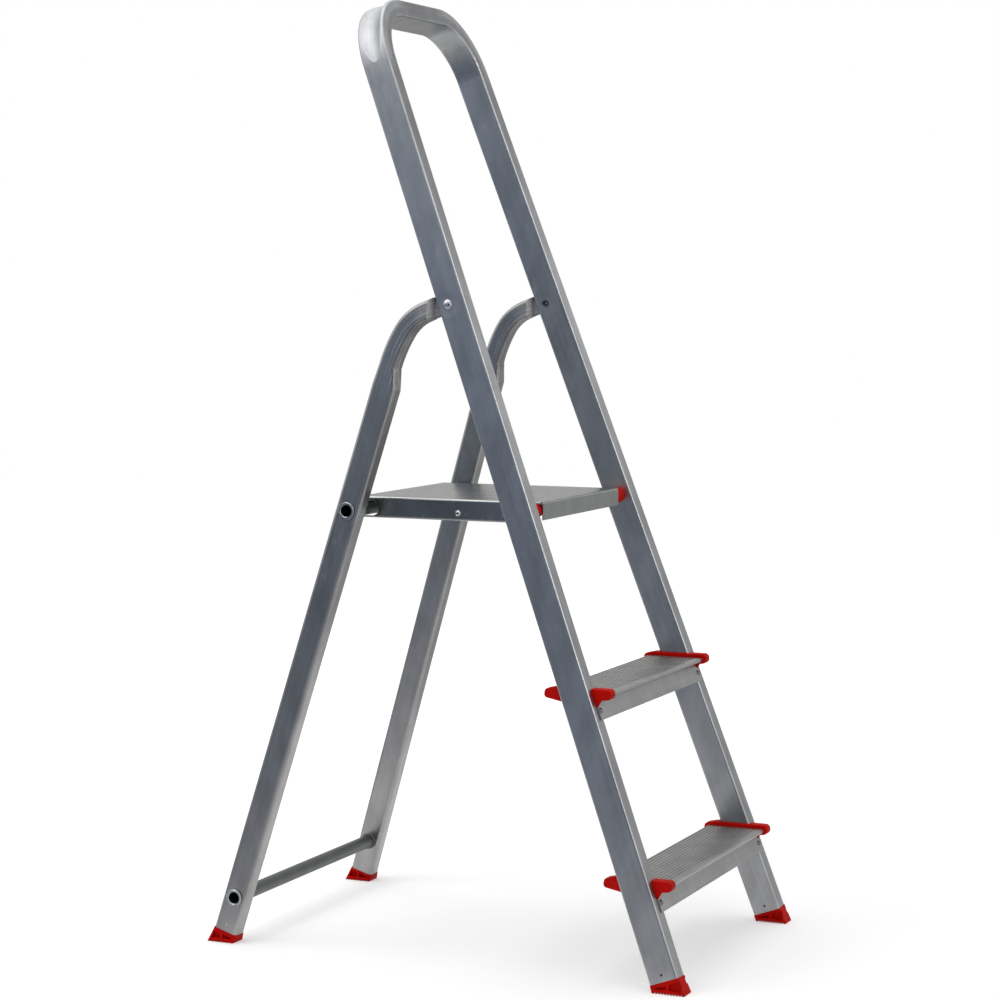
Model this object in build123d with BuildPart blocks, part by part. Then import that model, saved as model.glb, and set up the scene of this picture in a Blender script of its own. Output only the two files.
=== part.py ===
# Folding platform step ladder: two treads and a platform, a high hand hoop, hinged rear legs.
# Millimetres, +Z up, the front faces -Y, origin under the middle of the footprint.
import os
from math import asin, cos, radians, sin, tan

from build123d import *

os.makedirs("parts", exist_ok=True)

# Main sizes
step_rise = 240.0
first_rise = 135.0
total_height = 1287.0
stile_lean = 20.25
leg_lean = 16.85
floor_half_span = 208.7
splay = 2.73

# Front frame tube and its bends
stile_depth = 40.0
stile_width = 25.0
stile_wall = 1.6
stile_corner = 3.0
hoop_radius = 84.0
dish_depth = 8.5
dish_radius = 21.0
dish_fade = 36.0
dish_arc = 100.0

# Rear leg tube, drawn thinner where it is bent
leg_depth = 35.0
leg_width = 25.0
leg_wall = 1.5
leg_corner = 5.5
leg_bend_depth = 26.0
leg_bend_shift = 3.0
leg_end_thick = 8.0
leg_end_reach = 11.0
leg_end_straight = 35.0
bend_tight = 62.0
bend_wide = 190.0
bend_change = 32.0
shoulder_long = 28.0
pinch_start = 22.5
pinch_skew = 23.5
pinch_ramp = 9.0

# Rear leg pivot
pivot_height = 874.5
pivot_set_back = 5.7
pivot_shank = 6.0
pivot_head = 11.0
pivot_dome = 3.0
pivot_edge = 0.6
pivot_seat = 0.4
seat_margin = 0.6
slot_side = 1.5
slot_up = 18.5
slot_down = 27.0
slot_reach = 4.8
spacer_dia = 12.0
spacer_gap = 0.4

# Cross tubes
cross_dia = 19.0
cross_wall = 1.5
cross_rim = 2.3
cross_rim_long = 1.6
cross_rim_bevel = 0.9
cross_seat = 0.45
upper_cross_height = 598.8
lower_cross_height = 63.0

# Platform tray and its stiffener
tray_half = 135.8
tray_front_back = 4.0
tray_rear_reach = 7.7
sheet = 1.2
tray_bend = 3.0
side_drop = 29.0
front_drop = 24.0
front_flange_short = 1.0
lip_wide = 8.0
slot_play = 0.4
slot_travel = 11.0
ear_margin = 6.0
tray_over = 1.0
stiffener_wide = 34.0
stiffener_deep = 24.0
stiffener_sheet = 1.5
stiffener_back = 123.0
stiffener_rivet_drop = 18.8

# Platform rests on the stiles
rest_drop = 12.0
rest_back = 12.0
rest_clear = 2.0
rest_slope = 28.0
rest_reach = 11.0
collar_over = 2.0

# Blind rivets
pop_dia = 4.0
pop_head = 8.0
pop_crown = 4.4
pop_edge = 0.5
pop_dome = 1.8
pop_bulb = 5.6
pop_tail = 3.4
pop_reach = 8.0

# Treads
tread_front = 21.2
tread_rear = 62.0
tread_sheet = 2.4
bead_dia = 5.2
rib_pitch = 6.0
rib_wide = 2.4
rib_cut = 0.8
nose_plain = 12.0
notch_rise = 1.0
flange_sheet = 1.8
flange_drop = 34.0
rear_flange_drop = 26.0
flange_over = 13.9
tread_over = 9.5
tread_end_drop = 17.5
tread_rivet_drop = 22.6
tread_rivet_rear_drop = 19.0
tread_rivet_over = 7.0

# Tread end caps, outline measured back from the stile's front face and up from the tread
cap_over = 12.5
cap_inset = 4.5
cap_wall = 3.0
cap_rise = 5.3
cap_nose = 26.2
cap_nose_low = 7.7
cap_nose_round = 6.3
cap_root = 14.3
cap_root_low = 9.3
cap_belly = 43.0
cap_belly_low = 14.0
cap_tail = 68.5
cap_tail_low = 9.0
cap_tail_top = 67.0
cap_tail_rise = 2.0
cap_tail_round = 5.0
cap_slope = 52.0
cap_edge = 2.0
cap_fin_root = 6.4
cap_fin_tip = 7.4
cap_fin_drop = 18.2

# Feet
foot_front_thick = 15.0
foot_rear_thick = 15.0
foot_lip = 0.7
foot_flare = 2.0
toe_flare = 2.0
heel_flare = 4.0
sole_round = 2.5
plug_long = 32.0
tooth_pitch = 4.0
tooth_wide = 2.6
tooth_deep = 1.9
window_deep = 4.5
window_rib = 1.8
window_low = 5.6
window_edge = 3.0
pin_hole = 3.2
pin_up = 9.0
pin_reach = 38.0

# Clearances
fit_gap = 0.2
tight_gap = 0.05
sheet_gap = 0.1
plug_gap = 0.15
side_gap = 0.3
seat_gap = 0.25
tube_clear = 1.0

# Worked-out values
lean = radians(stile_lean)
tilt = radians(splay)
back = radians(leg_lean)
turn = radians(bend_change)
skew = radians(pinch_skew)
slant = tan(lean)
side_slope = tan(tilt) / cos(lean)
lower_top = first_rise
upper_top = first_rise + step_rise
platform_top = first_rise + 2 * step_rise
half_flat = stile_depth / 2 / cos(lean)
leg_flat = leg_depth / 2 / cos(back)
stile_half = stile_width / 2 / cos(tilt)
reach_all = 2 * floor_half_span

pivot_x = floor_half_span - pivot_height * side_slope
pivot_y_rel = pivot_height * slant + pivot_set_back / cos(lean)
end_dir = radians(90 - stile_lean)
bend_back = bend_tight * (cos(turn) - cos(end_dir)) + bend_wide * (cos(back) - cos(turn))
bend_down = bend_tight * (sin(end_dir) - sin(turn)) + bend_wide * (sin(turn) - sin(back))
leg_fall = leg_end_straight * sin(lean) + bend_down
leg_run = pivot_height / cos(tilt) - leg_fall
leg_floor_rel = pivot_y_rel + leg_end_straight * cos(lean) + bend_back + leg_run * tan(back)

front_sole = -half_flat - toe_flare
rear_sole = leg_floor_rel + leg_flat + heel_flare
y_shift = -(front_sole + rear_sole) / 2
pivot_y = pivot_y_rel + y_shift


def stile_x(z):
    return floor_half_span - z * side_slope


def stile_y(z):
    return z * slant + y_shift


def stile_front(z):
    return stile_y(z) - half_flat


def inner_x(z):
    return stile_x(z) - stile_half


def leg_x(z):
    return pivot_x + (pivot_height - z) * tan(tilt)


def leg_y(z):
    return leg_floor_rel + y_shift - z / cos(tilt) * tan(back)


def flip(place):
    return Vector(-place.X, place.Y, place.Z)


upper_cross_y = leg_y(upper_cross_height)
lower_cross_y = leg_y(lower_cross_height)
stile_up = Vector(-sin(tilt), cos(tilt) * sin(lean), cos(tilt) * cos(lean))
stile_front_dir = Vector(0, -cos(lean), sin(lean))
stile_out = Vector(cos(tilt), sin(tilt) * sin(lean), sin(tilt) * cos(lean))
leg_up = Vector(-sin(tilt) * cos(back), -sin(back), cos(tilt) * cos(back))
leg_out = Vector(cos(tilt), 0, sin(tilt))

# Bend geometry of the hand hoop, in the plane of the front frame
frame_plane = Plane(origin=(0, y_shift, 0), x_dir=(1, 0, 0), z_dir=stile_front_dir)
foot_v = foot_front_thick / cos(lean)
top_v = (total_height - stile_depth / 2 * sin(lean)) / cos(lean) - stile_width / 2
foot_u = floor_half_span - foot_v * tan(tilt)
top_u = floor_half_span - top_v * tan(tilt)
bend_u = top_u - hoop_radius * tan(radians((90 - splay) / 2))
bend_v = top_v - hoop_radius
dish_track = hoop_radius + stile_width / 2 + dish_fade
dish_shift = dish_fade + dish_depth
dish_aim = radians((90 + splay) / 2)
dish_u = bend_u - dish_shift * cos(dish_aim)
dish_v = bend_v - dish_shift * sin(dish_aim)
dish_mid = Vector(cos(dish_aim), sin(dish_aim) * sin(lean), sin(dish_aim) * cos(lean))
dish_spot = frame_plane.from_local_coords((dish_u, dish_v, 0))
dish_axis = Axis(dish_spot, stile_front_dir)
dish_plane = Plane(origin=dish_spot, x_dir=dish_mid, z_dir=dish_mid.cross(stile_front_dir))


def frame_form(inset):
    """The inverted U of the front frame, its section drawn in by inset all round."""
    with BuildPart() as form:
        with BuildLine(frame_plane) as path:
            FilletPolyline(
                (-foot_u, foot_v), (-top_u, top_v), (top_u, top_v), (foot_u, foot_v), radius=hoop_radius
            )
        with BuildSketch(Plane(origin=path.line @ 0, x_dir=stile_front_dir, z_dir=path.line % 0)):
            RectangleRounded(stile_depth - 2 * inset, stile_width - 2 * inset, stile_corner - inset)
        sweep()
    return form.part


def dish_form(extra):
    """The hollow rolled into the outside of the right bend, made larger by extra."""
    with BuildPart() as form:
        with BuildSketch(dish_plane):
            with Locations((dish_track + dish_radius, 0)):
                Circle(dish_radius + extra)
        revolve(axis=dish_axis, revolution_arc=dish_arc)
    return form.part.rotate(dish_axis, -dish_arc / 2)


frame_core = frame_form(stile_wall)
frame_skin = frame_form(0)
dish_core = dish_form(stile_wall)
dish_skin = dish_form(0)

with BuildPart() as frame_hollow:
    add(frame_core)
    add(dish_core, mode=Mode.SUBTRACT)
    add(mirror(dish_core, about=Plane.YZ), mode=Mode.SUBTRACT)

# Places on the front frame
rest_y = stile_front(platform_top) + tray_front_back + rest_back
rest_z = platform_top - rest_drop
pivot_spot = Vector(pivot_x, pivot_y, pivot_height)
slot_mid = pivot_set_back - stile_depth / 2 + stile_wall / 2
pivot_seat_out = pivot_x + stile_half - pivot_seat
pivot_seat_in = pivot_x - stile_half + pivot_seat
stile_foot = Vector(stile_x(foot_front_thick), stile_y(foot_front_thick), foot_front_thick)
pin_spot = stile_foot + stile_up * pin_up
slot_right = Plane(origin=pivot_spot, x_dir=stile_front_dir, z_dir=stile_up)
slot_left = Plane(origin=flip(pivot_spot), x_dir=stile_front_dir, z_dir=flip(stile_up))
slot_place = Location((slot_mid, 0, (slot_up - slot_down) / 2))
pin_right = Plane(origin=pin_spot, x_dir=stile_front_dir, z_dir=stile_out)
pin_left = Plane(origin=flip(pin_spot), x_dir=stile_front_dir, z_dir=flip(stile_out))


def tread_rivet_places(top):
    places = []
    for side in (1, -1):
        for front, drop in ((1, tread_rivet_drop), (-1, tread_rivet_rear_drop)):
            level = top - drop
            lift = stile_depth / 2 + fit_gap + flange_sheet
            spot = Vector((inner_x(level) + tread_rivet_over) * side, stile_y(level), level)
            # The head stands on the flange at the level the stile is drilled at
            spot = spot + (stile_front_dir - Vector(0, slant, 1) * sin(lean)) * front * lift
            places.append(Plane(origin=spot, x_dir=(1, 0, 0), z_dir=stile_front_dir * front).location)
    return places


tread_rivet_all = tread_rivet_places(lower_top) + tread_rivet_places(upper_top)

# Front frame: one tube bent to an inverted U, slotted behind for the rear legs
with BuildPart() as front_frame:
    add(frame_skin)
    add(dish_skin, mode=Mode.SUBTRACT)
    add(mirror(dish_skin, about=Plane.YZ), mode=Mode.SUBTRACT)
    add(frame_hollow.part, mode=Mode.SUBTRACT)
    # Slots for the flattened leg ends
    with Locations(slot_right.location * slot_place, slot_left.location * slot_place):
        Box(slot_reach, leg_end_thick + 2 * slot_side, slot_up + slot_down, mode=Mode.SUBTRACT)
    # Pivot holes and the pressed flats around them
    with BuildSketch(Plane.YZ):
        with Locations((pivot_y, pivot_height)):
            Circle(pivot_shank / 2 + tight_gap)
    extrude(amount=floor_half_span, both=True, mode=Mode.SUBTRACT)
    for face in (pivot_seat_out, -pivot_seat_out - stile_wall, pivot_seat_in - stile_wall, -pivot_seat_in):
        with BuildSketch(Plane.YZ.offset(face)):
            with Locations((pivot_y, pivot_height)):
                Circle(pivot_head / 2 + seat_margin)
        extrude(amount=stile_wall, mode=Mode.SUBTRACT)
    # Cross holes above the feet
    with Locations(pin_right.location, pin_left.location):
        Cylinder(pin_hole / 2, pin_reach, mode=Mode.SUBTRACT)
    # Holes for the platform rest rivets, inner walls only
    for face in (stile_x(rest_z) - stile_width, -stile_x(rest_z)):
        with BuildSketch(Plane.YZ.offset(face)):
            with Locations((rest_y, rest_z)):
                Circle(pop_dia / 2 + tight_gap)
        extrude(amount=stile_width, mode=Mode.SUBTRACT)
    # Tread rivet holes in the narrow walls
    with Locations(*tread_rivet_all):
        Cylinder(pop_dia / 2 + tight_gap, pop_reach, mode=Mode.SUBTRACT)


def foot_form(top, sole, depth, width, corner, wall, sole_long):
    """A toothed foot block between sole and tube end, with its plug up the tube."""
    with BuildPart() as form:
        with BuildSketch(sole):
            RectangleRounded(sole_long, width + 2 * foot_flare, sole_round)
        with BuildSketch(top):
            RectangleRounded(depth + 2 * foot_lip, width + 2 * foot_lip, corner)
        loft(ruled=True)
        with BuildSketch(top):
            RectangleRounded(
                depth - 2 * wall - 2 * plug_gap, width - 2 * wall - 2 * plug_gap, corner - wall
            )
        extrude(amount=plug_long)
        # Notches across the sole
        with Locations(sole.location):
            with GridLocations(tooth_pitch, 0, int((sole_long - tooth_wide) / tooth_pitch), 1):
                Box(tooth_wide, width * 2, 2 * tooth_deep, mode=Mode.SUBTRACT)
    return form.part


# Right front foot
toe_mid = y_shift - toe_flare / 2
foot_top = Plane(origin=stile_foot, x_dir=stile_front_dir, z_dir=stile_up)
foot_sole = Plane(origin=(floor_half_span, toe_mid, 0), x_dir=(0, -1, 0), z_dir=(0, 0, 1))
toe_block = foot_form(
    foot_top, foot_sole, stile_depth, stile_width, stile_corner, stile_wall, 2 * half_flat + toe_flare
)
toe_cheek = stile_width / 2 + foot_flare / 2 - window_deep
toe_slope = foot_front_thick - window_edge

with BuildPart() as front_foot_right:
    add(toe_block)
    with Locations(pin_right.location):
        Cylinder(pin_hole / 2, pin_reach, mode=Mode.SUBTRACT)
    # Two sunk windows on each cheek, below the slanting tube end
    for face in (floor_half_span + toe_cheek, floor_half_span - toe_cheek - stile_width):
        with BuildSketch(Plane.YZ.offset(face)):
            with Locations((y_shift, 0)):
                Polygon(
                    (window_rib, window_low),
                    (half_flat - window_edge, window_low),
                    (window_rib, toe_slope - window_rib * slant),
                    align=None,
                )
                Polygon(
                    (-window_rib, window_low),
                    (-window_rib, toe_slope + window_rib * slant),
                    (window_edge - half_flat, toe_slope + (half_flat - window_edge) * slant),
                    (window_edge - half_flat, window_low - window_rib),
                    align=None,
                )
        extrude(amount=stile_width, mode=Mode.SUBTRACT)

with BuildPart() as front_foot_left:
    add(mirror(front_foot_right.part, about=Plane.YZ))

# Path of a rear leg in its own tilted plane, from the pivot down
leg_plane = Plane(origin=pivot_spot, x_dir=(0, 1, 0), z_dir=leg_out)
leg_down = Vector(sin(back), -cos(back))


def ring_spot(radius, angle):
    return Vector(radius * cos(angle), radius * sin(angle))


end_line = Vector(cos(lean), -sin(lean))
leg_p1 = end_line * leg_end_straight + ring_spot(leg_bend_shift, end_dir)
leg_p0 = leg_p1 - end_line * (leg_end_straight + leg_end_reach)
tight_mid = leg_p1 - ring_spot(bend_tight + leg_bend_shift, end_dir)
leg_m1 = tight_mid + ring_spot(bend_tight + leg_bend_shift, (end_dir + turn) / 2)
leg_p2 = tight_mid + ring_spot(bend_tight + leg_bend_shift, turn)
wide_mid = leg_p2 - ring_spot(bend_wide + leg_bend_shift, turn)
leg_m2 = wide_mid + ring_spot(bend_wide + leg_bend_shift, (turn + back) / 2)
leg_p3 = wide_mid + ring_spot(bend_wide + leg_bend_shift, back)
leg_p4 = leg_p3 - ring_spot(leg_bend_shift, back) + leg_down * shoulder_long
leg_cut = (pivot_height - foot_rear_thick) / cos(tilt)
leg_straight = (leg_cut + leg_p4.Y) / cos(back)


def leg_station(spot, heading):
    along = leg_plane.x_dir * heading.X + leg_plane.y_dir * heading.Y
    origin = leg_plane.from_local_coords(tuple(spot))
    return Plane(origin=origin, x_dir=leg_out.cross(along), z_dir=along)


def leg_form(inset):
    """Bend, shoulder and straight of the right leg, its section drawn in by inset all round."""
    wide = leg_width - 2 * inset
    corner = leg_corner - inset
    with BuildPart() as form:
        with BuildLine(leg_plane):
            Line(tuple(leg_p0), tuple(leg_p1))
            ThreePointArc(tuple(leg_p1), tuple(leg_m1), tuple(leg_p2))
            ThreePointArc(tuple(leg_p2), tuple(leg_m2), tuple(leg_p3))
        with BuildSketch(leg_station(leg_p0, end_line)):
            RectangleRounded(leg_bend_depth - 2 * inset, wide, corner)
        sweep()
        with BuildSketch(leg_station(leg_p3, leg_down)):
            RectangleRounded(leg_bend_depth - 2 * inset, wide, corner)
        with BuildSketch(leg_station(leg_p4, leg_down)):
            RectangleRounded(leg_depth - 2 * inset, wide, corner)
        loft()
        with BuildSketch(leg_station(leg_p4, leg_down)):
            RectangleRounded(leg_depth - 2 * inset, wide, corner)
        extrude(amount=leg_straight)
    return form.part


leg_core = leg_form(leg_wall)
leg_skin = leg_form(0)

# Frame of the slanted pinch line where the tube end is pressed flat
pinch_y = sin(skew - lean)
pinch_z = -cos(skew - lean)
pinch_line = Vector(0, pinch_y, 0) + leg_plane.y_dir * pinch_z
pinch_spot = leg_plane.from_local_coords(tuple(end_line * pinch_start))
pinch_plane = Plane(origin=pinch_spot, x_dir=leg_out.cross(pinch_line), z_dir=pinch_line)
pinch_far = leg_depth * 2
pinch_rise = (leg_width - leg_end_thick) / 2 / pinch_ramp
core_stop = pinch_ramp / 2
core_flat = leg_end_thick / 2 - leg_wall + core_stop * pinch_rise

leg_half = leg_width / 2 / cos(tilt)
leg_span = 2 * leg_half - 2 * cross_seat
leg_seat_up = leg_x(upper_cross_height) + leg_half - cross_seat
leg_seat_low = leg_x(lower_cross_height) + leg_half - cross_seat

# Hollow of a rear leg, closed where the end is pressed flat
with BuildPart() as leg_hollow:
    add(leg_core)
    with BuildSketch(pinch_plane):
        Polygon(
            (-pinch_far, -leg_width),
            (pinch_ramp * 2, -leg_width),
            (core_stop, -core_flat),
            (core_stop, core_flat),
            (pinch_ramp * 2, leg_width),
            (-pinch_far, leg_width),
            align=None,
        )
    extrude(amount=pinch_far, both=True, mode=Mode.SUBTRACT)

# Right rear leg: a tube bent below the pivot, its top end pressed flat
with BuildPart() as rear_leg_right:
    add(leg_skin)
    for cheek in (1, -1):
        with BuildSketch(pinch_plane):
            Polygon(
                (-pinch_far, cheek * leg_end_thick / 2),
                (0, cheek * leg_end_thick / 2),
                (pinch_ramp, cheek * leg_width / 2),
                (pinch_ramp, cheek * leg_width),
                (-pinch_far, cheek * leg_width),
                align=None,
            )
        extrude(amount=pinch_far, both=True, mode=Mode.SUBTRACT)
    add(leg_hollow.part, mode=Mode.SUBTRACT)
    with BuildSketch(Plane.YZ):
        with Locations((pivot_y, pivot_height)):
            Circle(pivot_shank / 2 + tight_gap)
    extrude(amount=reach_all, mode=Mode.SUBTRACT)
    # Holes and flats for the two cross tubes
    with BuildSketch(Plane.YZ):
        with Locations((upper_cross_y, upper_cross_height), (lower_cross_y, lower_cross_height)):
            Circle(cross_dia / 2 + tight_gap)
    extrude(amount=reach_all, mode=Mode.SUBTRACT)
    for seat, y, z in (
        (leg_seat_up, upper_cross_y, upper_cross_height),
        (leg_seat_low, lower_cross_y, lower_cross_height),
    ):
        for face in (seat, seat - leg_span - leg_wall):
            with BuildSketch(Plane.YZ.offset(face)):
                with Locations((y, z)):
                    Circle(cross_dia / 2 + cross_rim + seat_margin)
            extrude(amount=leg_wall, mode=Mode.SUBTRACT)

with BuildPart() as rear_leg_left:
    add(mirror(rear_leg_right.part, about=Plane.YZ))

# Right rear foot
leg_foot = Vector(leg_x(foot_rear_thick), leg_y(foot_rear_thick), foot_rear_thick)
heel_mid = leg_y(0) + heel_flare / 2
heel_top = Plane(origin=leg_foot, x_dir=leg_out.cross(leg_up), z_dir=leg_up)
heel_sole = Plane(origin=(leg_x(0), heel_mid, 0), x_dir=(0, 1, 0), z_dir=(0, 0, 1))
heel_block = foot_form(
    heel_top, heel_sole, leg_depth, leg_width, leg_corner, leg_wall, 2 * leg_flat + heel_flare
)
heel_cheek = leg_width / 2 + foot_flare / 2 - window_deep
heel_slope = foot_rear_thick - window_edge
heel_end = leg_flat - window_edge

with BuildPart() as rear_foot_right:
    add(heel_block)
    # The plug is bored through along the cross tube's line, clear of it
    with BuildSketch(Plane.YZ):
        with Locations((lower_cross_y, lower_cross_height)):
            Circle(cross_dia / 2 + tube_clear)
    extrude(amount=reach_all, mode=Mode.SUBTRACT)
    # Two sunk windows on each cheek, below the slanting tube end
    for face in (leg_x(0) + heel_cheek, leg_x(0) - heel_cheek - leg_width):
        with BuildSketch(Plane.YZ.offset(face)):
            with Locations((leg_y(0), 0)):
                Polygon(
                    (-heel_end, window_low),
                    (-window_rib, window_low),
                    (-window_rib, heel_slope - window_rib * tan(back)),
                    (-heel_end, heel_slope - heel_end * tan(back)),
                    align=None,
                )
                Polygon(
                    (window_rib, window_low),
                    (heel_end, window_low),
                    (heel_end - window_edge, heel_slope + (heel_end - window_edge) * tan(back)),
                    (window_rib, heel_slope + window_rib * tan(back)),
                    align=None,
                )
        extrude(amount=leg_width, mode=Mode.SUBTRACT)

with BuildPart() as rear_foot_left:
    add(mirror(rear_foot_right.part, about=Plane.YZ))


def cross_tube_form(y, z, seat):
    """A cross tube with rolled rims outside the legs and beads inside them."""
    with BuildPart() as form:
        with BuildSketch(Plane.YZ):
            with Locations((y, z)):
                Circle(cross_dia / 2)
        extrude(amount=seat, both=True)
        for face in (seat, seat - leg_span - 2 * cross_rim_long):
            for side in (face, -face - 2 * cross_rim_long):
                with BuildSketch(Plane.YZ.offset(side)):
                    with Locations((y, z)):
                        Circle(cross_dia / 2 + cross_rim)
                extrude(amount=2 * cross_rim_long)
        with BuildSketch(Plane.YZ):
            with Locations((y, z)):
                Circle(cross_dia / 2 - cross_wall)
        extrude(amount=reach_all, both=True, mode=Mode.SUBTRACT)
        rims = form.edges().filter_by(GeomType.CIRCLE)
        chamfer([rim for rim in rims if rim.radius > cross_dia / 2 + sheet_gap], cross_rim_bevel)
        mouths = form.edges().filter_by(GeomType.CIRCLE)
        chamfer([mouth for mouth in mouths if mouth.radius < cross_dia / 2 - sheet_gap], cross_rim_bevel)
    return form.part


upper_cross_form = cross_tube_form(upper_cross_y, upper_cross_height, leg_seat_up)
lower_cross_form = cross_tube_form(lower_cross_y, lower_cross_height, leg_seat_low)

with BuildPart() as upper_cross_tube:
    add(upper_cross_form)

with BuildPart() as lower_cross_tube:
    add(lower_cross_form)

# Platform: a folded tray, slotted at the rear for the cross tube, hooked over two rests in front
tray_front = stile_front(platform_top) + tray_front_back
tray_rear = upper_cross_y + tray_rear_reach
ear_end = upper_cross_y + cross_dia / 2 + slot_play + ear_margin
tray_low = platform_top - side_drop
hook_z = platform_top - tray_bend - fit_gap
rest_radius = hook_z - seat_gap - rest_z
hook_y = rest_y + rest_radius + rest_clear
hook_foot = hook_y + (hook_z - tray_low) * tan(radians(rest_slope))

with BuildPart() as platform:
    with BuildSketch(Plane.XZ.offset(-tray_front - tray_bend)):
        with BuildLine():
            FilletPolyline(
                (-tray_half + lip_wide, tray_low),
                (-tray_half, tray_low),
                (-tray_half, platform_top),
                (tray_half, platform_top),
                (tray_half, tray_low),
                (tray_half - lip_wide, tray_low),
                radius=tray_bend,
            )
            offset(amount=-sheet, side=Side.RIGHT)
        make_face()
    extrude(amount=-(ear_end - tray_front - tray_bend))
    # Side flanges cut back in front, so the tray can lift off the rests
    with BuildSketch(Plane.YZ):
        Polygon(
            (tray_front - tray_over, hook_z),
            (hook_y, hook_z),
            (hook_foot, tray_low - tray_over),
            (tray_front - tray_over, tray_low - tray_over),
            align=None,
        )
    extrude(amount=2 * tray_half, both=True, mode=Mode.SUBTRACT)
    # Top plate ends short of the ears, whose corners are cut off
    with BuildSketch(Plane.YZ):
        Polygon(
            (tray_rear, hook_z),
            (tray_rear, platform_top + tray_over),
            (ear_end + tray_over, platform_top + tray_over),
            (ear_end + tray_over, hook_z - ear_margin),
            (ear_end - ear_margin, hook_z),
            align=None,
        )
        Polygon(
            (ear_end - ear_margin, tray_low - tray_over),
            (ear_end + tray_over, tray_low - tray_over),
            (ear_end + tray_over, tray_low + ear_margin),
            align=None,
        )
    extrude(amount=2 * tray_half, both=True, mode=Mode.SUBTRACT)
    # Long holes around the cross tube
    with BuildSketch(Plane.YZ):
        with Locations((upper_cross_y - slot_travel / 2, upper_cross_height)):
            SlotCenterToCenter(slot_travel, cross_dia + 2 * slot_play)
    extrude(amount=2 * tray_half, both=True, mode=Mode.SUBTRACT)
    # Front flange
    with BuildSketch(Plane.YZ):
        with BuildLine():
            FilletPolyline(
                (tray_front, platform_top - front_drop),
                (tray_front, platform_top),
                (tray_front + tray_bend + seat_margin, platform_top),
                radius=tray_bend,
            )
            offset(amount=-sheet, side=Side.RIGHT)
        make_face()
    extrude(amount=tray_half - front_flange_short, both=True)
    # Stiffener rivet holes
    with BuildSketch(Plane.YZ):
        with Locations((tray_front + stiffener_back, platform_top - stiffener_rivet_drop)):
            Circle(pop_dia / 2 + tight_gap)
    extrude(amount=2 * tray_half, both=True, mode=Mode.SUBTRACT)

# Stiffener: channel under the platform with end tabs riveted to the side flanges
stiff_y = tray_front + stiffener_back
stiff_top = platform_top - sheet - sheet_gap
stiff_low = stiff_top - stiffener_deep
stiff_half = tray_half - sheet - sheet_gap
tab_rivet_z = platform_top - stiffener_rivet_drop

with BuildPart() as platform_stiffener:
    with BuildSketch(Plane.YZ):
        with BuildLine():
            FilletPolyline(
                (stiff_y - stiffener_wide / 2, stiff_top),
                (stiff_y - stiffener_wide / 2, stiff_low),
                (stiff_y + stiffener_wide / 2, stiff_low),
                (stiff_y + stiffener_wide / 2, stiff_top),
                radius=tray_bend,
            )
            offset(amount=-stiffener_sheet, side=Side.LEFT)
        make_face()
    extrude(amount=stiff_half, both=True)
    for face in (stiff_half - stiffener_sheet, -stiff_half):
        with BuildSketch(Plane.YZ.offset(face)):
            with Locations((stiff_y, stiff_top - stiffener_deep / 2)):
                Rectangle(stiffener_wide - 2 * tray_bend, stiffener_deep - tray_bend)
        extrude(amount=stiffener_sheet)
    with BuildSketch(Plane.YZ):
        with Locations((stiff_y, tab_rivet_z)):
            Circle(pop_dia / 2 + tight_gap)
    extrude(amount=2 * tray_half, both=True, mode=Mode.SUBTRACT)
    # Top corners clear the bends of the tray
    with Locations((stiff_half, stiff_y, stiff_top), (-stiff_half, stiff_y, stiff_top)):
        Box(2 * tray_bend, 2 * stiffener_wide, 2 * tray_bend, mode=Mode.SUBTRACT)


def blind_rivet_form(grip):
    """A blind rivet standing on its head's underside, its tail spread beyond the grip."""
    with BuildPart() as form:
        with BuildSketch(Plane.XZ):
            with BuildLine():
                Polyline(
                    (0, pop_dome),
                    (pop_crown / 2, pop_dome),
                    (pop_head / 2, pop_edge),
                    (pop_head / 2, 0),
                    (pop_dia / 2, 0),
                    (pop_dia / 2, -grip - tight_gap),
                    (pop_bulb / 2, -grip - pop_tail / 2),
                    (pop_dia / 2, -grip - pop_tail),
                    (0, -grip - pop_tail),
                    close=True,
                )
            make_face()
        revolve(axis=Axis.Z)
    return form.part


tread_rivet = blind_rivet_form(flange_sheet + fit_gap + stile_wall)
tray_rivet = blind_rivet_form(sheet + stiffener_sheet + sheet_gap)

with BuildPart() as tread_rivets:
    for place in tread_rivet_all:
        add(tread_rivet.moved(place))

with BuildPart() as stiffener_rivets:
    for side in (1, -1):
        tab_spot = Plane(origin=(side * tray_half, stiff_y, tab_rivet_z), z_dir=(side, 0, 0))
        add(tray_rivet.moved(tab_spot.location))

# Platform rests: stepped bushes riveted to the inner faces of the stiles
rest_inner = tray_half - rest_reach
rest_shoulder = tray_half + side_gap
rest_wall = Vector(stile_x(rest_z), stile_y(rest_z), rest_z) - stile_out * (stile_width / 2)
rest_outer = stile_x(rest_z) - stile_width / 2
rest_grip = rest_outer + stile_wall + seat_margin - rest_inner

with BuildPart() as platform_bush_right:
    with BuildSketch(Plane.YZ.offset(rest_inner)):
        with Locations((rest_y, rest_z)):
            Circle(rest_radius)
    extrude(amount=rest_shoulder - rest_inner)
    with BuildSketch(Plane.YZ.offset(rest_shoulder)):
        with Locations((rest_y, rest_z)):
            Circle(rest_radius + collar_over)
    extrude(amount=stile_width / 2 + rest_outer - rest_shoulder)
    split(bisect_by=Plane(origin=rest_wall - stile_out * tight_gap, z_dir=stile_out), keep=Keep.BOTTOM)
    with BuildSketch(Plane.YZ):
        with Locations((rest_y, rest_z)):
            Circle(pop_dia / 2 + tight_gap)
    extrude(amount=reach_all, mode=Mode.SUBTRACT)

with BuildPart() as platform_bush_left:
    add(mirror(platform_bush_right.part, about=Plane.YZ))

rest_rivet = blind_rivet_form(rest_grip)

with BuildPart() as bush_rivets:
    for side in (1, -1):
        rest_spot = Plane(origin=(side * rest_inner, rest_y, rest_z), z_dir=(-side, 0, 0))
        add(rest_rivet.moved(rest_spot.location))

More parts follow.
